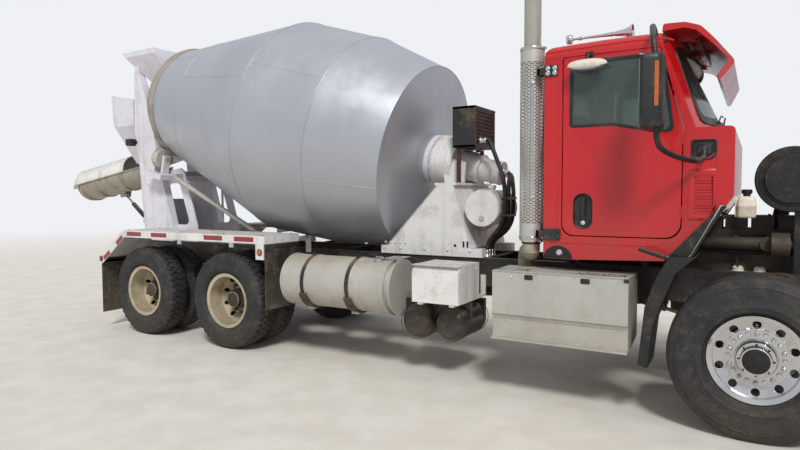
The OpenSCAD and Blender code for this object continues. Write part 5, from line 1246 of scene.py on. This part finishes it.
front_nuts = nuts([(0, 44), (9, 43.5), (11, 42), (11, 22), (16.5, 20), (17, 17), (17, 2), (21, 1.5),
    (22, -1), (22, -3)], 87, 10)
twin_nuts = nuts([(0, 40), (9, 39.5), (11, 38), (11, 22), (16.5, 20), (17, 17), (17, 2), (22, 1), (22, -2)],
    16, 7)
rim_ring = lathe([(118, 84), (128, 84), (131, 87), (131, 96), (128, 99), (119, 99)], 72, ring=True)
cap_front = lathe([(0, 200), (46, 199), (74, 196), (88, 190), (93, 180), (93, 152), (97, 148), (112, 148),
    (119, 145), (121, 138), (121, 96)], 64)
twin_cap = lathe([(0, 181), (60, 180), (78, 177), (85, 172), (86, 164), (86, 124), (104, 120), (110, 114),
    (110, 40)], 56)
front_cap = capped(cap_front, 104, 147, 8, 7)
rear_cap = capped(twin_cap, 68, 178, 9, 8)
valve = tube([(0, 236, 96), (0, 238, 118), (0, 232, 138)], 5, 8)
weight = moved(block(-22, 22, 283, 293, 150, 166, 3), turn("z", 70))
for side, word in SIDES:
    hub = wheel_axis(0, FRONT_Y, FRONT_R, side)
    body = "front_wheel_" + word
    piece("nuts_front_" + word, front_nuts, BRIGHT, hub, body=body, angle=30)
    piece("cap_front_" + word, front_cap, GREASE, hub, body=body)
    piece("rim_ring_front_" + word, rim_ring, POLISHED, hub, body=body)
    piece("valve_front_" + word, joined(valve, weight), BRIGHT, hub, body=body)
    for x, row in TWIN_ROWS:
        at = wheel_axis(x, TWIN_Y, TWIN_R, side)
        body = f"{row}_wheels_{word}"
        piece(f"nuts_{row}_{word}", twin_nuts, IRON, at, body=body, angle=30)
        piece(f"cap_{row}_{word}", rear_cap, IRON, at, body=body)

# Fuel tanks: seams, straps, lower brackets, fillers and steps
TANK_Y, TANK_Z = 940, 800
tank_seams = []
strap_lines = []
feet = []
for x in (-4096, -3190, -2990):
    ring = [(x, TANK_Y + u, TANK_Z + v) for u, v, _ in circle(259, 96)]
    tank_seams.append(tube(ring, 3.2, 8, closed=True))
for x in (-3900, -3360):
    profile = [(264, 2), (267, 4), (267, 46), (264, 48)]
    band = moved(lathe([(262, 2)] + profile + [(262, 48)], 40, 190, -80, True),
        shift(x, TANK_Y, TANK_Z) @ turn("y", 90) @ turn("z", 90))
    strap_lines.append(band)
    strap_lines.append(bolt((x + 25, 1000, 1064), (0, 0, 1), 12, 22))
    arc = []
    for r, a0, a1 in ((285, -96, -22), (262, -22, -96)):
        for a in np.linspace(math.radians(a0), math.radians(a1), 16):
            arc.append((TANK_Y + r * math.cos(a), TANK_Z + r * math.sin(a)))
    feet.append(front_plate(arc, x - 14, x + 66, 3))
    for a in (-40, -75):
        c, s = math.cos(math.radians(a)), math.sin(math.radians(a))
        feet += [bolt((x + dx, TANK_Y + 284 * c, TANK_Z + 284 * s), (0, c, s), 10, 8) for dx in (8, 44)]
piece("tank_seams", both(joined(*tank_seams)), ALUMINIUM)
piece("tank_straps", both(joined(*strap_lines)), TANK_BLACK)
piece("tank_feet", both(joined(*feet)), BLACK)
filler_at = aim((-3080, 1010, 1046), (0, 0.27, 1))
neck = lathe([(0, 34), (40, 34), (46, 30), (46, 8), (54, 6), (54, -20)], 40)
filler = moved(joined(neck, block(-34, 34, -5, 5, 30, 44, 2)), filler_at)
x0, x1 = -3044, -2872
holes = [[(x, 800), (x + 28, 800), (x + 28, 984), (x, 984)] for x in range(x0 + 18, x0 + 156, 46)]
tread = [pierced([(x0, 780), (x1, 780), (x1, 1004), (x0, 1004)], holes, 1066, 1074, 1.5)]
tread += [block(x, x + 20, 800, 984, 1040, 1068, 2) for x in (x0 + 10, x1 - 30)]
piece("tank_fillers", both(joined(filler, *tread)), BRIGHT)

# Step boxes: lids with bright treads, rivets, latches and the toothed lip
lid = []
lip_teeth = []
for x0, x1 in ((-1846, -1588), (-1190, -842)):
    lid.append(block(x0, x1, 1060, 1176, 1055, 1061, 2))
    for k in range(int((x1 - x0) / 24)):
        for j in range(4):
            lid.append(moved(lathe([(0, 3), (5, 2.4), (7, 0)], 8),
                shift(x0 + 14 + 24 * k, 1078 + 27 * j, 1061)))
for k in range(int((1866 - 810) / 15.0)):
    x = -1858 + 15 * k
    lip_teeth.append(block(x, x + 7, 1196, 1225.5, 511, 516.5, 1.5))
rivets = [rivet((x, 1200, z), (0, 1, 0), 9, 4)
    for x, z in ((-1700, 1004), (-1064, 1000), (-1200, 1032), (-1500, 1032))]
rivets += [rivet((x, 1182, 648), (0, 1, 0), 9, 4) for x in (-1760, -920, -1340)]
fold_line = tube([(-1866, 1200.5, 690), (-810, 1200.5, 690)], 3, 8)
corner_rows = outline_of([(-842, 1020, 4), (-842, 1052, 4), (-806, 1052, 4), (-806, 1020, 4)])
corner = side_plate(corner_rows, 1199, 1206, 2)
hinge = rod((-1840, 1202, 1057), (-836, 1202, 1057), 5, 10)
piece("step_details", both(joined(*lid, *lip_teeth, *rivets, fold_line, hinge)), BRIGHT)
latch = [side_plate(oblong(70, 40, 10) + np.array((x, 1012)), 1199, 1205, 2) for x in (-1560, -1120)]
piece("step_latches", both(joined(corner, *latch)), PLASTIC)

# Side box and air tanks
box_trim = [block(-2652, -2193, -1152, -1060, 1046, 1052, 2),
    rod((-2640, -1092, 1049), (-2205, -1092, 1049), 5, 10)]
box_trim += [bolt((-2196, y, z), (1, 0, 0), 10, 6) for y in (-1090, -760) for z in (740, 1000)]
box_trim += [rivet((x, -1150, 732), (0, -1, 0), 7, 3) for x in (-2620, -2420, -2225)]
piece("side_box_trim", joined(*box_trim), WHITE)
air = []
for x, z in ((-2688, 505), (-2355, 515)):
    for y in (-1000, -742, -480):
        ring = [(x + u, y, z + v) for u, v, _ in circle(158.5, 72)]
        air.append(tube(ring, 3, 8, closed=True))
    for y in (-900, -580):
        band = moved(lathe([(158, -18), (163, -16), (163, 16), (158, 18)], 56, ring=True),
            shift(x, y, z) @ turn("x", 90))
        air.append(band)
        air.append(rod((x + 20, y, z + 150), (x + 20, y, z + 184), 8, 12))
    air.append(moved(lathe([(0, 14), (12, 14), (14, 10), (14, 0), (20, 0)], 6),
        aim((x, -1029, z), (0, -1, 0))))
    air.append(rod((x, -760, z - 172), (x, -760, z - 154), 12, 12))
piece("air_tank_bands", joined(*air), TANK_BLACK)

# Rear fenders: reflectors, markers, tail lamps and bolts
red_plates = []
for x0, x1 in ((-6566, -6302), (-6118, -5843), (-5225, -4942), (-4765, -4484)):
    red_plates.append(side_plate([(x0, 1184), (x1, 1184), (x1, 1234), (x0, 1234)], 1229.5, 1231.6, 0.6))
slope = math.degrees(math.atan2(1250 - 888, 7121 - 6638))
for u in (0.2, 0.74):
    x = -6638 - 483 * u
    z = 1250 - 362 * u - 52
    tilted = moved(block(-75, 75, 1229.5, 1231.6, -25, 25, 0.6), shift(x + 20, 0, z) @ turn("y", -slope))
    red_plates.append(tilted)
piece("fender_reflectors", both(joined(*red_plates)), RED_LENS)
round_lens = lathe([(0, 16), (14, 15), (26, 10), (31, 0)], 30)
round_base = lathe([(30, 5), (36, 4), (38, 0), (38, -4)], 30)
marker_at = aim((-4404, 1229, 1080), (0, 1, 0))
tail_at = aim((-7092, 1229, 880), (0, 1, 0))
piece("fender_markers", both(moved(round_lens, marker_at)), AMBER_LENS)
piece("fender_tail_lamps", both(moved(round_lens, tail_at)), RED_LENS)
studs = [bolt((x, y, 1250), (0, 0, 1), 9, 6) for x in (-4406, -4966, -5637, -6598) for y in (735, 1185)]
piece("fender_bases", both(joined(moved(round_base, marker_at), moved(round_base, tail_at), *studs)),
    PLASTIC)
lamp_box = []
lamp_red = []
lamp_clear = []
for y in (330, 215):
    lamp_box.append(moved(plate(oblong(108, 108, 20), 0, 46, 6),
        shift(-7423, y - 10, 925) @ turn("y", -90)))
    target = lamp_red if y == 330 else lamp_clear
    target.append(moved(lathe([(0, 10), (30, 8), (44, 2), (45, -2)], 36),
        aim((-7468, y - 10, 925), (-1, 0, 0))))
piece("tail_lamp_boxes", both(joined(*lamp_box)), PLASTIC)
piece("tail_lamp_red", both(joined(*lamp_red)), RED_LENS)
piece("tail_lamp_clear", both(joined(*lamp_clear)), CLEAR_LENS)

# Front pedestal: dark plates painted as the shade inside its slots, bolts and weld beads
# Painted shade: each slot is a thin dark plate on the pedestal side, not an opening
slots = [side_plate([(x, 1152), (x + 20, 1152), (x + 20, 1214), (x, 1214)], 449, 451.5, 0.8)
    for x in (-2478, -2436)]
slots.append(side_plate(oblong(30, 30, 14) + np.array((-2560, 1168)), 449, 451.5, 0.8))
piece("pedestal_slot_shade", both(joined(*slots)), GREASE)
ped = [bolt((x, 451, 1176), (0, 1, 0), 10, 7) for x in (-3360, -3300, -3240, -3180, -3120)]
ped += [bolt((x, 451, 1120), (0, 1, 0), 12, 8) for x in (-3380, -3180, -2900, -2640, -2400)]
ped.append(weld([(-3330, 452, 1152), (-2760, 452, 1754)], 4, 8))
ped.append(weld([(-2392, 452, 1152), (-2576, 452, 1754)], 4, 8))
piece("pedestal_details", both(joined(*ped)), LILAC)

# Drum drive: flange bolts and cooling ribs
drive = []
for s, r, count in ((-216, 246, 20), (-415, 190, 16), (-535, 150, 12)):
    for k in range(count):
        a = 2 * math.pi * (k + 0.5) / count
        drive.append(bolt((r * math.cos(a), r * math.sin(a), s), (0, 0, -1), 10, 8))
for s, r in ((-250, 273), (-300, 273), (-350, 273), (-400, 273)):
    drive.append(lathe([(r - 4, s), (r, s + 1), (r, s + 7), (r - 4, s + 8)], 72, ring=True))
for s, r, h in ((-700, 124, 16), (-800, 124, 16), (-888, 120, 20)):
    drive.append(
        lathe([(r - 10, s), (r, s), (r + 2, s + 3), (r + 2, s + h - 3), (r, s + h), (r - 10, s + h)], 48,
        ring=True))
piece("drive_bolts", joined(*drive), LILAC, DRUM)

# Hydraulic tank: seams, filler, straps and gauge
HYDRAULIC_X, HYDRAULIC_Z = -2282, 1537
hyd = []
for y in (-449, 59):
    hyd.append(moved(lathe([(160, 0), (172, 1), (176, 5), (176, 12), (171, 13)], 64, ring=True),
        shift(HYDRAULIC_X, y, HYDRAULIC_Z) @ turn("x", 90 if y > 0 else -90)))
for y in (-250, -20):
    hyd.append(moved(lathe([(171, -20), (175, -18), (175, 18), (171, 20)], 64, ring=True),
        shift(HYDRAULIC_X, y, HYDRAULIC_Z) @ turn("x", 90)))
hyd.append(moved(lathe([(0, 52), (34, 50), (40, 44), (40, 20), (30, 18), (30, -6)], 32),
    shift(HYDRAULIC_X, -180, 1709)))
piece("hydraulic_tank_trim", joined(*hyd), WHITE)
dial = [moved(lathe([(0, 10), (22, 10), (26, 6), (26, 0)], 28), aim((HYDRAULIC_X, -450, 1440), (0, -1, 0)))]
dial.append(rod((-2130, -300, 1440), (-2112, -300, 1436), 14, 16))
piece("hydraulic_tank_gauge", joined(*dial), BRIGHT)


# Hoses: smooth lines fixed at both ends, with their fittings
def on_axis(s, up, y):
    return tuple((DRUM @ np.array((up, y, s, 1.0)))[:3])


HOSES = [
    [on_axis(-890.3, 25, -50), on_axis(-980, 25, -50), (-2068, -300, 1740), (-2050, -340, 1380),
        (-2270, -264, 1201), (-2270, -264, 1051)],
    [on_axis(-890.3, 0, 50), on_axis(-970, 0, 50), (-2056, -180, 1660), (-2050, -240, 1360),
        (-2270, -200, 1201), (-2270, -200, 1051)],
    [(-2393.7, -250, 2200), (-2284, -250, 2200), (-2060, -420, 1800), (-2050, -410, 1420),
        (-2270, -326, 1201), (-2270, -326, 1051)],
]
lines = []
fittings = []
for points in HOSES:
    route = bent_route(points, 150, 12)
    lines.append(tube(route, 20.5, 20))
    for end, nxt in ((0, 1), (-1, -2)):
        p = np.array(points[end])
        d = np.array(points[nxt]) - p
        fitting = lathe([(0, 0), (27, 0), (29, 3), (29, 26), (26, 30), (25, 34), (25, 74), (23, 78),
            (21, 80)], 24)
        nut = lathe([(0, -2), (32, -2), (33, 0), (33, 20), (32, 22), (0, 22)], 6)
        fittings.append(moved(joined(fitting, nut), aim(p, d)))
piece("hose_lines", joined(*lines), HOSE, angle=60, hides=["hydraulic_hoses"])
piece("hose_fittings", joined(*fittings), BRIGHT)
clips = []
for z, y0, y1 in ((1620, -440, -205), (1460, -445, -215)):
    clips.append(block(-2086, -2018, y0, y1, z, z + 22, 4))
piece("hose_clips", joined(*clips), PLASTIC)

# Oil cooler: a black frame with its fan guard, and fins
COOLER_FAN_Y, COOLER_FAN_Z = -100, 2334
cool = []
for y0, y1, z0, z1 in ((-356, -330, 2133, 2535), (130, 156, 2133, 2535), (-356, 156, 2133, 2157),
    (-356, 156, 2509, 2535)):
    cool.append(block(-2632, -2390, y0, y1, z0, z1, 3))
cool += [bolt((-2390, y, z), (1, 0, 0), 9, 6) for y in (-343, 143) for z in (2146, 2522)]
for r in (40, 70, 100, 130, 150):
    ring = [(-2636, COOLER_FAN_Y + u, COOLER_FAN_Z + v) for u, v, _ in circle(r, 48)]
    cool.append(tube(ring, 2.6, 6, closed=True))
for k in range(8):
    a = math.pi * k / 4
    tip = (-2638, COOLER_FAN_Y + 156 * math.cos(a), COOLER_FAN_Z + 156 * math.sin(a))
    cool.append(rod((-2638, COOLER_FAN_Y, COOLER_FAN_Z), tip, 3, 6))
piece("cooler_frame", joined(*cool), BLACK)
fins = []
for z in range(2180, 2480, 36):
    for k in range(54):
        fins.append(block(-2409, -2397, -318 + 8 * k, -316.5 + 8 * k, z, z + 18, 0.3))
piece("cooler_fins", joined(*fins), COOLER)


# Frame: bolts along the rails, air lines and the flap bars
rails = []
for k in range(31):
    x = -7330 + 264 * k
    for z in (846, 1006):
        rails.append(bolt((x + (40 if z > 900 else 0), 429.5, z), (0, 1, 0), 10, 8))
piece("rail_bolts", both(joined(*rails)), BLACK, angle=30)
air_lines = []
clamps = []
for z in (940, 960):
    route = [(x, 441, z + 5 * math.sin(x / 310.0)) for x in np.linspace(-4700, -2900, 28)]
    air_lines.append(tube(smooth_route(route, 2), 7, 8))
for x in range(-4640, -2900, 330):
    clamps.append(block(x, x + 26, 428, 452, 926, 976, 3))
piece("air_lines", both(joined(*air_lines)), HOSE, angle=60)
piece("air_line_clamps", both(joined(*clamps)), BRIGHT)
bars = []
for x0, x1, z in ((-7122, -7098, 828), (-4362, -4334, 1120)):
    bars.append(block(x0, x1, 700, 1206, z, z + 36, 3))
    bars += [bolt((x0, y, z + 18), (-1, 0, 0), 9, 7) for y in (740, 880, 1020, 1160)]
piece("flap_bars", both(joined(*bars)), BLACK)

# Rear columns: round covers, weld beads and a work lamp
cover = lathe([(0, 5), (62, 5), (64, 3), (66, 1), (82, 1), (85, -1), (85, -4)], 56)
columns = [moved(cover, aim((-7185, 450, 1875), (0, 1, 0)))]
columns += [bolt((-7185 + 74 * c, 450, 1875 + 74 * s), (0, 1, 0), 8, 7)
    for c, s in ((1, 0), (-1, 0), (0, 1), (0, -1))]
columns.append(weld([(-6645, 451, 1064), (-7003, 451, 2244)], 4, 8))
columns.append(weld([(-7255, 451, 1064), (-7376, 451, 2244)], 4, 8))
columns += [bolt((x, 451, 1100), (0, 1, 0), 13, 10) for x in (-6740, -6860, -6980, -7100, -7200)]
piece("column_details", both(joined(*columns)), LILAC)
work = joined(block(-7520, -7420, 452, 548, 2352, 2448, 12), block(-7440, -7400, 446, 470, 2380, 2420, 3))
piece("work_lamp", moved(work, FLIP), PLASTIC)
work_lens = moved(lathe([(0, 8), (26, 6), (38, 1), (40, -2)], 32), aim((-7520, -500, 2400), (-1, 0, 0)))
piece("work_lamp_lens", work_lens, CLEAR_LENS)

# Chutes: ribs round the trough and the crust that the concrete leaves
CRUST = finish("dried_concrete", "a59d8f", 0.9, vary=0.16, dirt="7f7260", grime=0.5, bump=0.9, grain=40,
    cad=False, dull=0.95)
ribs = []
for x in (-1420, -1060, -470, 40):
    arc = [(x, 257 * math.cos(a), 290 + 257 * math.sin(a))
        for a in np.linspace(math.pi + 0.05, 2 * math.pi - 0.05, 33)]
    ribs.append(tube(arc, 9, 8))
piece("chute_ribs", joined(*ribs), CHUTE_STEEL, CHUTE, body="main_chute")


def crust(inner_r, x0, x1, a0, a1, seed, height):
    """A ragged skin of dried concrete inside a trough along local X."""
    own = np.random.default_rng(seed)
    rows, cols = 70, 30
    wave = own.normal(size=(12, 5))
    verts = []
    for i in range(rows):
        for j in range(cols):
            u, v = i / (rows - 1), j / (cols - 1)
            thick = 0.0
            for p, q, s, t, _ in wave:
                thick += math.sin(9 * p * u * 3 + 5 * q) * math.cos(8 * s * v + 4 * t)
            rim = min(1.0, 5 * v, 5 * (1 - v), 14 * u, 14 * (1 - u))
            depth = height * max(0.0, 0.45 + 0.14 * thick + 0.06 * own.normal()) * rim
            a = math.radians(a0 + (a1 - a0) * v)
            r = inner_r - depth + 0.8
            verts.append((x0 + (x1 - x0) * u, r * math.cos(a), 290 + r * math.sin(a)))
    faces = []
    for i in range(rows - 1):
        for j in range(cols - 1):
            p = i * cols + j
            faces.append((p, p + cols, p + cols + 1, p + 1))
    return np.array(verts), faces


TROUGH_INNER = 244.0
piece("chute_crust", crust(TROUGH_INNER, -1505, 120, 205, 335, 5, 12.0), CRUST, CHUTE, body="main_chute",
    angle=70)

# Hood: headlamps, turn lamps and the dark inner lining
lamp_ring = lathe([(70, 0), (74, 8), (82, 12), (90, 9), (93, 0), (93, -6)], 48)
lamp_glass = lathe([(0, 24), (26, 22), (50, 15), (66, 6), (74, 0)], 40)
rings = []
glasses = []
for y in (900, 1040):
    at = shift(1187, y, 1050) @ turn("y", 90)
    rings.append(moved(lamp_ring, at))
    glasses.append(moved(lamp_glass, at))
bezel = front_pierced(rounded([(806, 944), (1134, 944), (1134, 1156), (806, 1156)], 26),
    [rounded([(826, 962), (1114, 962), (1114, 1138), (826, 1138)], 20)], 1166, 1176, 3)
piece("headlamp_rings", both(joined(bezel, *rings)), CHROME, HOOD, body="hood")
piece("headlamp_glass", both(joined(*glasses)), CLEAR_LENS, HOOD, body="hood")
turn_lamp = front_plate(rounded([(1128, 966), (1166, 970), (1166, 1130), (1128, 1134)], 10), 1120, 1130, 4)
piece("turn_lamps", both(turn_lamp), AMBER_LENS, HOOD, body="hood")


def lined(made, centre, inner):
    """Gives the faces that look towards a point inside another colour."""
    tree = made.node_tree
    shader = tree.nodes["Principled BSDF"]
    old = shader.inputs["Base Color"].links[0].from_socket
    where = tree.nodes.new("ShaderNodeTexCoord").outputs["Object"]
    away = tree.nodes.new("ShaderNodeVectorMath")
    away.operation = "SUBTRACT"
    away.inputs[1].default_value = centre
    facing_in = tree.nodes.new("ShaderNodeVectorMath")
    facing_in.operation = "DOT_PRODUCT"
    below = tree.nodes.new("ShaderNodeMath")
    below.operation = "LESS_THAN"
    below.inputs[1].default_value = 0.0
    blend = tree.nodes.new("ShaderNodeMix")
    blend.data_type = "RGBA"
    blend.inputs[7].default_value = tone(inner)
    tree.links.new(where, away.inputs[0])
    tree.links.new(away.outputs[0], facing_in.inputs[0])
    tree.links.new(tree.nodes.new("ShaderNodeNewGeometry").outputs["Normal"], facing_in.inputs[1])
    tree.links.new(facing_in.outputs["Value"], below.inputs[0])
    tree.links.new(below.outputs[0], blend.inputs[0])
    tree.links.new(old, blend.inputs[6])
    tree.links.new(blend.outputs[2], shader.inputs["Base Color"])
    return made


HOOD_RED = finish("hood_paint", "bb0c15", 0.3, coat=0.4, vary=0.05, dirt="8d7f70", grime=0.14, top=0.2,
    bump=0.03)
middle = (HOOD @ np.array((560.0, 0.0, 1180.0, 1.0)))[:3] + np.array((FRONT_AXLE_X, 0, 0))
lined(HOOD_RED, tuple(float(q) / 1000 for q in middle), "26272a")
for held in frame["nodes"]["hood"].material_slots:
    held.material = HOOD_RED

# Radiator fins, and the engine's bolts, filters, looms and pulleys
core = []
for k in range(88):
    y = -402 + 9.2 * k
    core.append(block(947, 951, y, y + 2.2, 1116, 1634, 0.4))
for z in range(1130, 1634, 36):
    core.append(block(948, 953, -403, 403, z, z + 4, 0.8))
piece("radiator_fins", joined(*core), BLACK, angle=30)
motor = []
for k in range(6):
    x = -590 + 200 * k
    motor += [bolt((x + dx, y, 1490), (0, 0, 1), 10, 9) for dx in (-60, 60) for y in (-90, 90)]
    motor += [bolt((x, -270, z), (0, -1, 0), 11, 9) for z in (880, 1180)]
    motor.append(rod((x, -272, 1010), (x, -262, 1010), 34, 24))
    motor += [bolt((x, 270, z), (0, 1, 0), 11, 9) for z in (880, 1180)]
piece("engine_bolts", joined(*motor), IRON, angle=30)
filters = []
for x in (-140, 10):
    can = lathe([(0, -150), (40, -148), (48, -140), (50, -120), (50, 40), (46, 50), (40, 56), (40, 76),
        (0, 76)], 32)
    filters.append(moved(can, shift(x, -322, 1010)))
    filters.append(block(x - 30, x + 30, -322, -266, 1062, 1094, 4))
piece("engine_filters", joined(*filters), CREAM)
LOOMS = [
    (15, 10, [(-640, -288, 1200), (-400, -292, 1216), (-100, -290, 1204), (240, -292, 1214),
        (540, -288, 1196)]),
    (15, 10, [(-560, 288, 1236), (-200, 296, 1244), (200, 290, 1232), (520, 288, 1240)]),
    (8, 8, [(-140, -322, 1086), (-150, -310, 1180), (-120, -292, 1204)]),
]
looms = [tube(smooth_route(points), r, n) for r, n, points in LOOMS]
piece("engine_looms", joined(*looms), HOSE, angle=60)
pulleys = []
for y, z, r in ((0, 930, 92), (170, 1180, 58), (-170, 1200, 52), (0, 1150, 66)):
    wheel = lathe([(r - 14, 0), (r, 2), (r, 7), (r - 8, 12), (r, 17), (r, 22), (r - 14, 24)], 44, ring=True)
    disc_face = lathe([(0, 6), (r - 14, 6), (r - 14, 18), (0, 18)], 44)
    pulleys.append(moved(joined(wheel, disc_face), shift(561, y, z) @ turn("y", 90)))
piece("pulleys", joined(*pulleys), IRON)

# Air cleaner: bands and ribs
CLEANER_X, CLEANER_Z = 205, 1775
cleaner = []
for y in (-440, -260, -80):
    cleaner.append(moved(lathe([(238, -14), (243, -12), (243, 12), (238, 14)], 72, ring=True),
        shift(CLEANER_X, y, CLEANER_Z) @ turn("x", 90)))
for k in range(10):
    r = 60 + 17 * k
    cleaner.append(moved(lathe([(r, 0), (r + 3, 3), (r + 6, 0)], 64),
        shift(CLEANER_X, -490, CLEANER_Z) @ turn("x", 90)))
piece("air_cleaner_ribs", joined(*cleaner), PLASTIC)

# Bumper bolts
front_bolts = [bolt((1268, y, z), (1, 0, 0), 13, 10) for y in (-700, -420, 420, 700) for z in (360, 540)]
piece("bumper_bolts", joined(*front_bolts), CHROME)


# Cab interior: padded seats, a dash, the wheel and its column
def cushion(size, crown, grooves, n=26, power=5.0):
    """A pad about its own centre: size is its X, Y and Z, grooves are sewn lines along X."""
    index = {}
    verts = []
    faces = []
    line = np.linspace(-1, 1, n)

    def corner_of(p):
        key = tuple(np.round(p, 5))
        if key not in index:
            q = np.array(p) / (np.abs(np.array(p)) ** power).sum() ** (1 / power)
            rise = crown * (1 - q[0] ** 4) * (1 - q[1] ** 4) if q[2] > 0 else 0.0
            for g in grooves:
                rise -= 9.0 * math.exp(-(((q[1] - g) / 0.035) ** 2)) * (q[2] > 0)
            rise -= 4.0 * math.exp(-((q[2] / 0.09) ** 2))
            scale = np.array(size) / 2
            at = q * scale
            at[2] += rise * max(q[2], 0.0) if q[2] > 0 else 0.0
            if abs(q[2]) < 0.12:
                at[:2] *= 1.012
            index[key] = len(verts)
            verts.append(at)
        return index[key]

    for axis in range(3):
        for sign in (-1, 1):
            for a, b in zip(line, line[1:]):
                for c, d in zip(line, line[1:]):
                    quad = []
                    for u, v in ((a, c), (b, c), (b, d), (a, d)):
                        p = [0.0, 0.0, 0.0]
                        p[axis] = float(sign)
                        p[(axis + 1) % 3] = float(u)
                        p[(axis + 2) % 3] = float(v)
                        quad.append(corner_of(p))
                    faces.append(tuple(quad if sign > 0 else reversed(quad)))
    return np.array(verts), faces


SEAT = finish("seat_cloth", "8f8c86", 0.9, vary=0.12, dirt="5f574c", grime=0.25, bump=0.5, grain=700,
    cad=False)
SEAT_Y = 480
PADS = [  # name, size, crown, sewn lines, X, Z, tilt, fill
    ("base", (490, 516, 124), 16, (-0.55, 0.0, 0.55), -1132, 1626, -3, 0.75),
    ("back", (560, 456, 112), 15, (-0.5, 0.5), -1322, 1930, -95, 0.75),
    ("rest", (150, 300, 96), 8, (), -1356, 2268, -95, 0.8),
]
for side, word in SIDES:
    for name, size, crown, grooves, x, z, lean, fill in PADS:
        pad = moved(cushion(size, crown, grooves), shift(x, side * SEAT_Y, z) @ turn("y", lean))
        thing = piece(f"seat_{name}_{word}", pad, SEAT, angle=80)
bases = []
for y in (-SEAT_Y, SEAT_Y):
    for k in range(5):
        w = 250 - 12 * (k % 2)
        bases.append(moved(plate(oblong(2 * w - 160, 2 * w - 60, 40), 0, 30, 8),
            shift(-1115, y, 1424 + 28 * k)))
    bases.append(block(-1290, -940, y - 215, y + 215, 1338, 1420, 6))
dash_rows = outline_of([(-420, 1700, 30), (-600, 1860, 40), (-560, 2080, 40), (-400, 2110, 20),
    (-290, 2060, 20), (-210, 1990, 4), (-210, 1700, 4)])
dash = side_plate(dash_rows, -948, 948, 12)
hump_rows = outline_of([(-604, 1985, 20), (-596, 2120, 30), (-430, 2130, 40), (-400, 2080, 20)])
hump = side_plate(hump_rows, 300, 660, 14)
column = joined(rod((-570, 480, 1900), (-720, 480, 1991), 30, 24),
    rod((-500, 0, 1553), (-640, 40, 2000), 12, 16))
knob = moved(lathe([(0, 36), (16, 33), (28, 22), (33, 4), (30, -14), (20, -28), (12, -34)], 28),
    shift(-640, 40, 2004))
piece("dash", joined(dash, hump, column, knob, *bases), TRIM, hides=["cab_interior"])
wheel_at = shift(-735, 480, 2000) @ turn("y", -60)
grip = tube(circle(215, 96), 15, 16, closed=True)
spokes = []
for k in (30, 150, 270):
    a = math.radians(k)
    spokes.append(
        tube(smooth_route([(40 * math.cos(a), 40 * math.sin(a), 2),
        (120 * math.cos(a), 120 * math.sin(a), -6), (212 * math.cos(a), 212 * math.sin(a), 0)]), 13, 10))
boss = lathe([(0, 14), (30, 13), (50, 8), (56, 0), (52, -10), (0, -12)], 40)
piece("steering_wheel", joined(grip, boss, *spokes), PLASTIC, wheel_at, angle=60)
faces_of = []
for y in (400, 480, 560):
    faces_of.append(moved(lathe([(0, 4), (28, 4), (33, 6), (36, 3), (36, -3)], 32),
        aim((-603, y, 2050), (-1, 0, 0.06))))
piece("dials", joined(*faces_of), CHROME)
shades = []
for y in (-420, 420):
    shades.append(moved(plate(oblong(150, 420, 30), 0, 14, 6), shift(-560, y, 2700) @ turn("y", 52)))
piece("sun_shades", joined(*shades), TRIM)


# Coolant tank: a moulded bottle with its seam, ledge and cap
bottle = []
for z, k in ((1495, 0.86), (1500, 0.95), (1512, 1.0), (1572, 1.0), (1576, 1.03), (1582, 1.03), (1586, 1.0),
    (1622, 0.93), (1642, 0.78), (1650, 0.62)):
    bottle.append([(-84.5 + q[0] * k, -752.5 + q[1] * k, z) for q in oblong(125, 121, 26)])
ledge = block(-157, -140, -790, -716, 1500, 1640, 4)
piece("coolant_bottle", joined(shell_of(bottle), ledge), CREAM, angle=50, hides=["coolant_tank"])
cap_top = [(0, 50), (26, 50), (32, 46), (32, 20), (28, 16), (24, 14), (24, -4)]
grips = [moved(block(30, 35, -3, 3, 20, 46, 1), turn("z", 24 * k)) for k in range(15)]
piece("coolant_cap", moved(joined(lathe(cap_top, 36), *grips), shift(-84, -752, 1650)), PLASTIC)
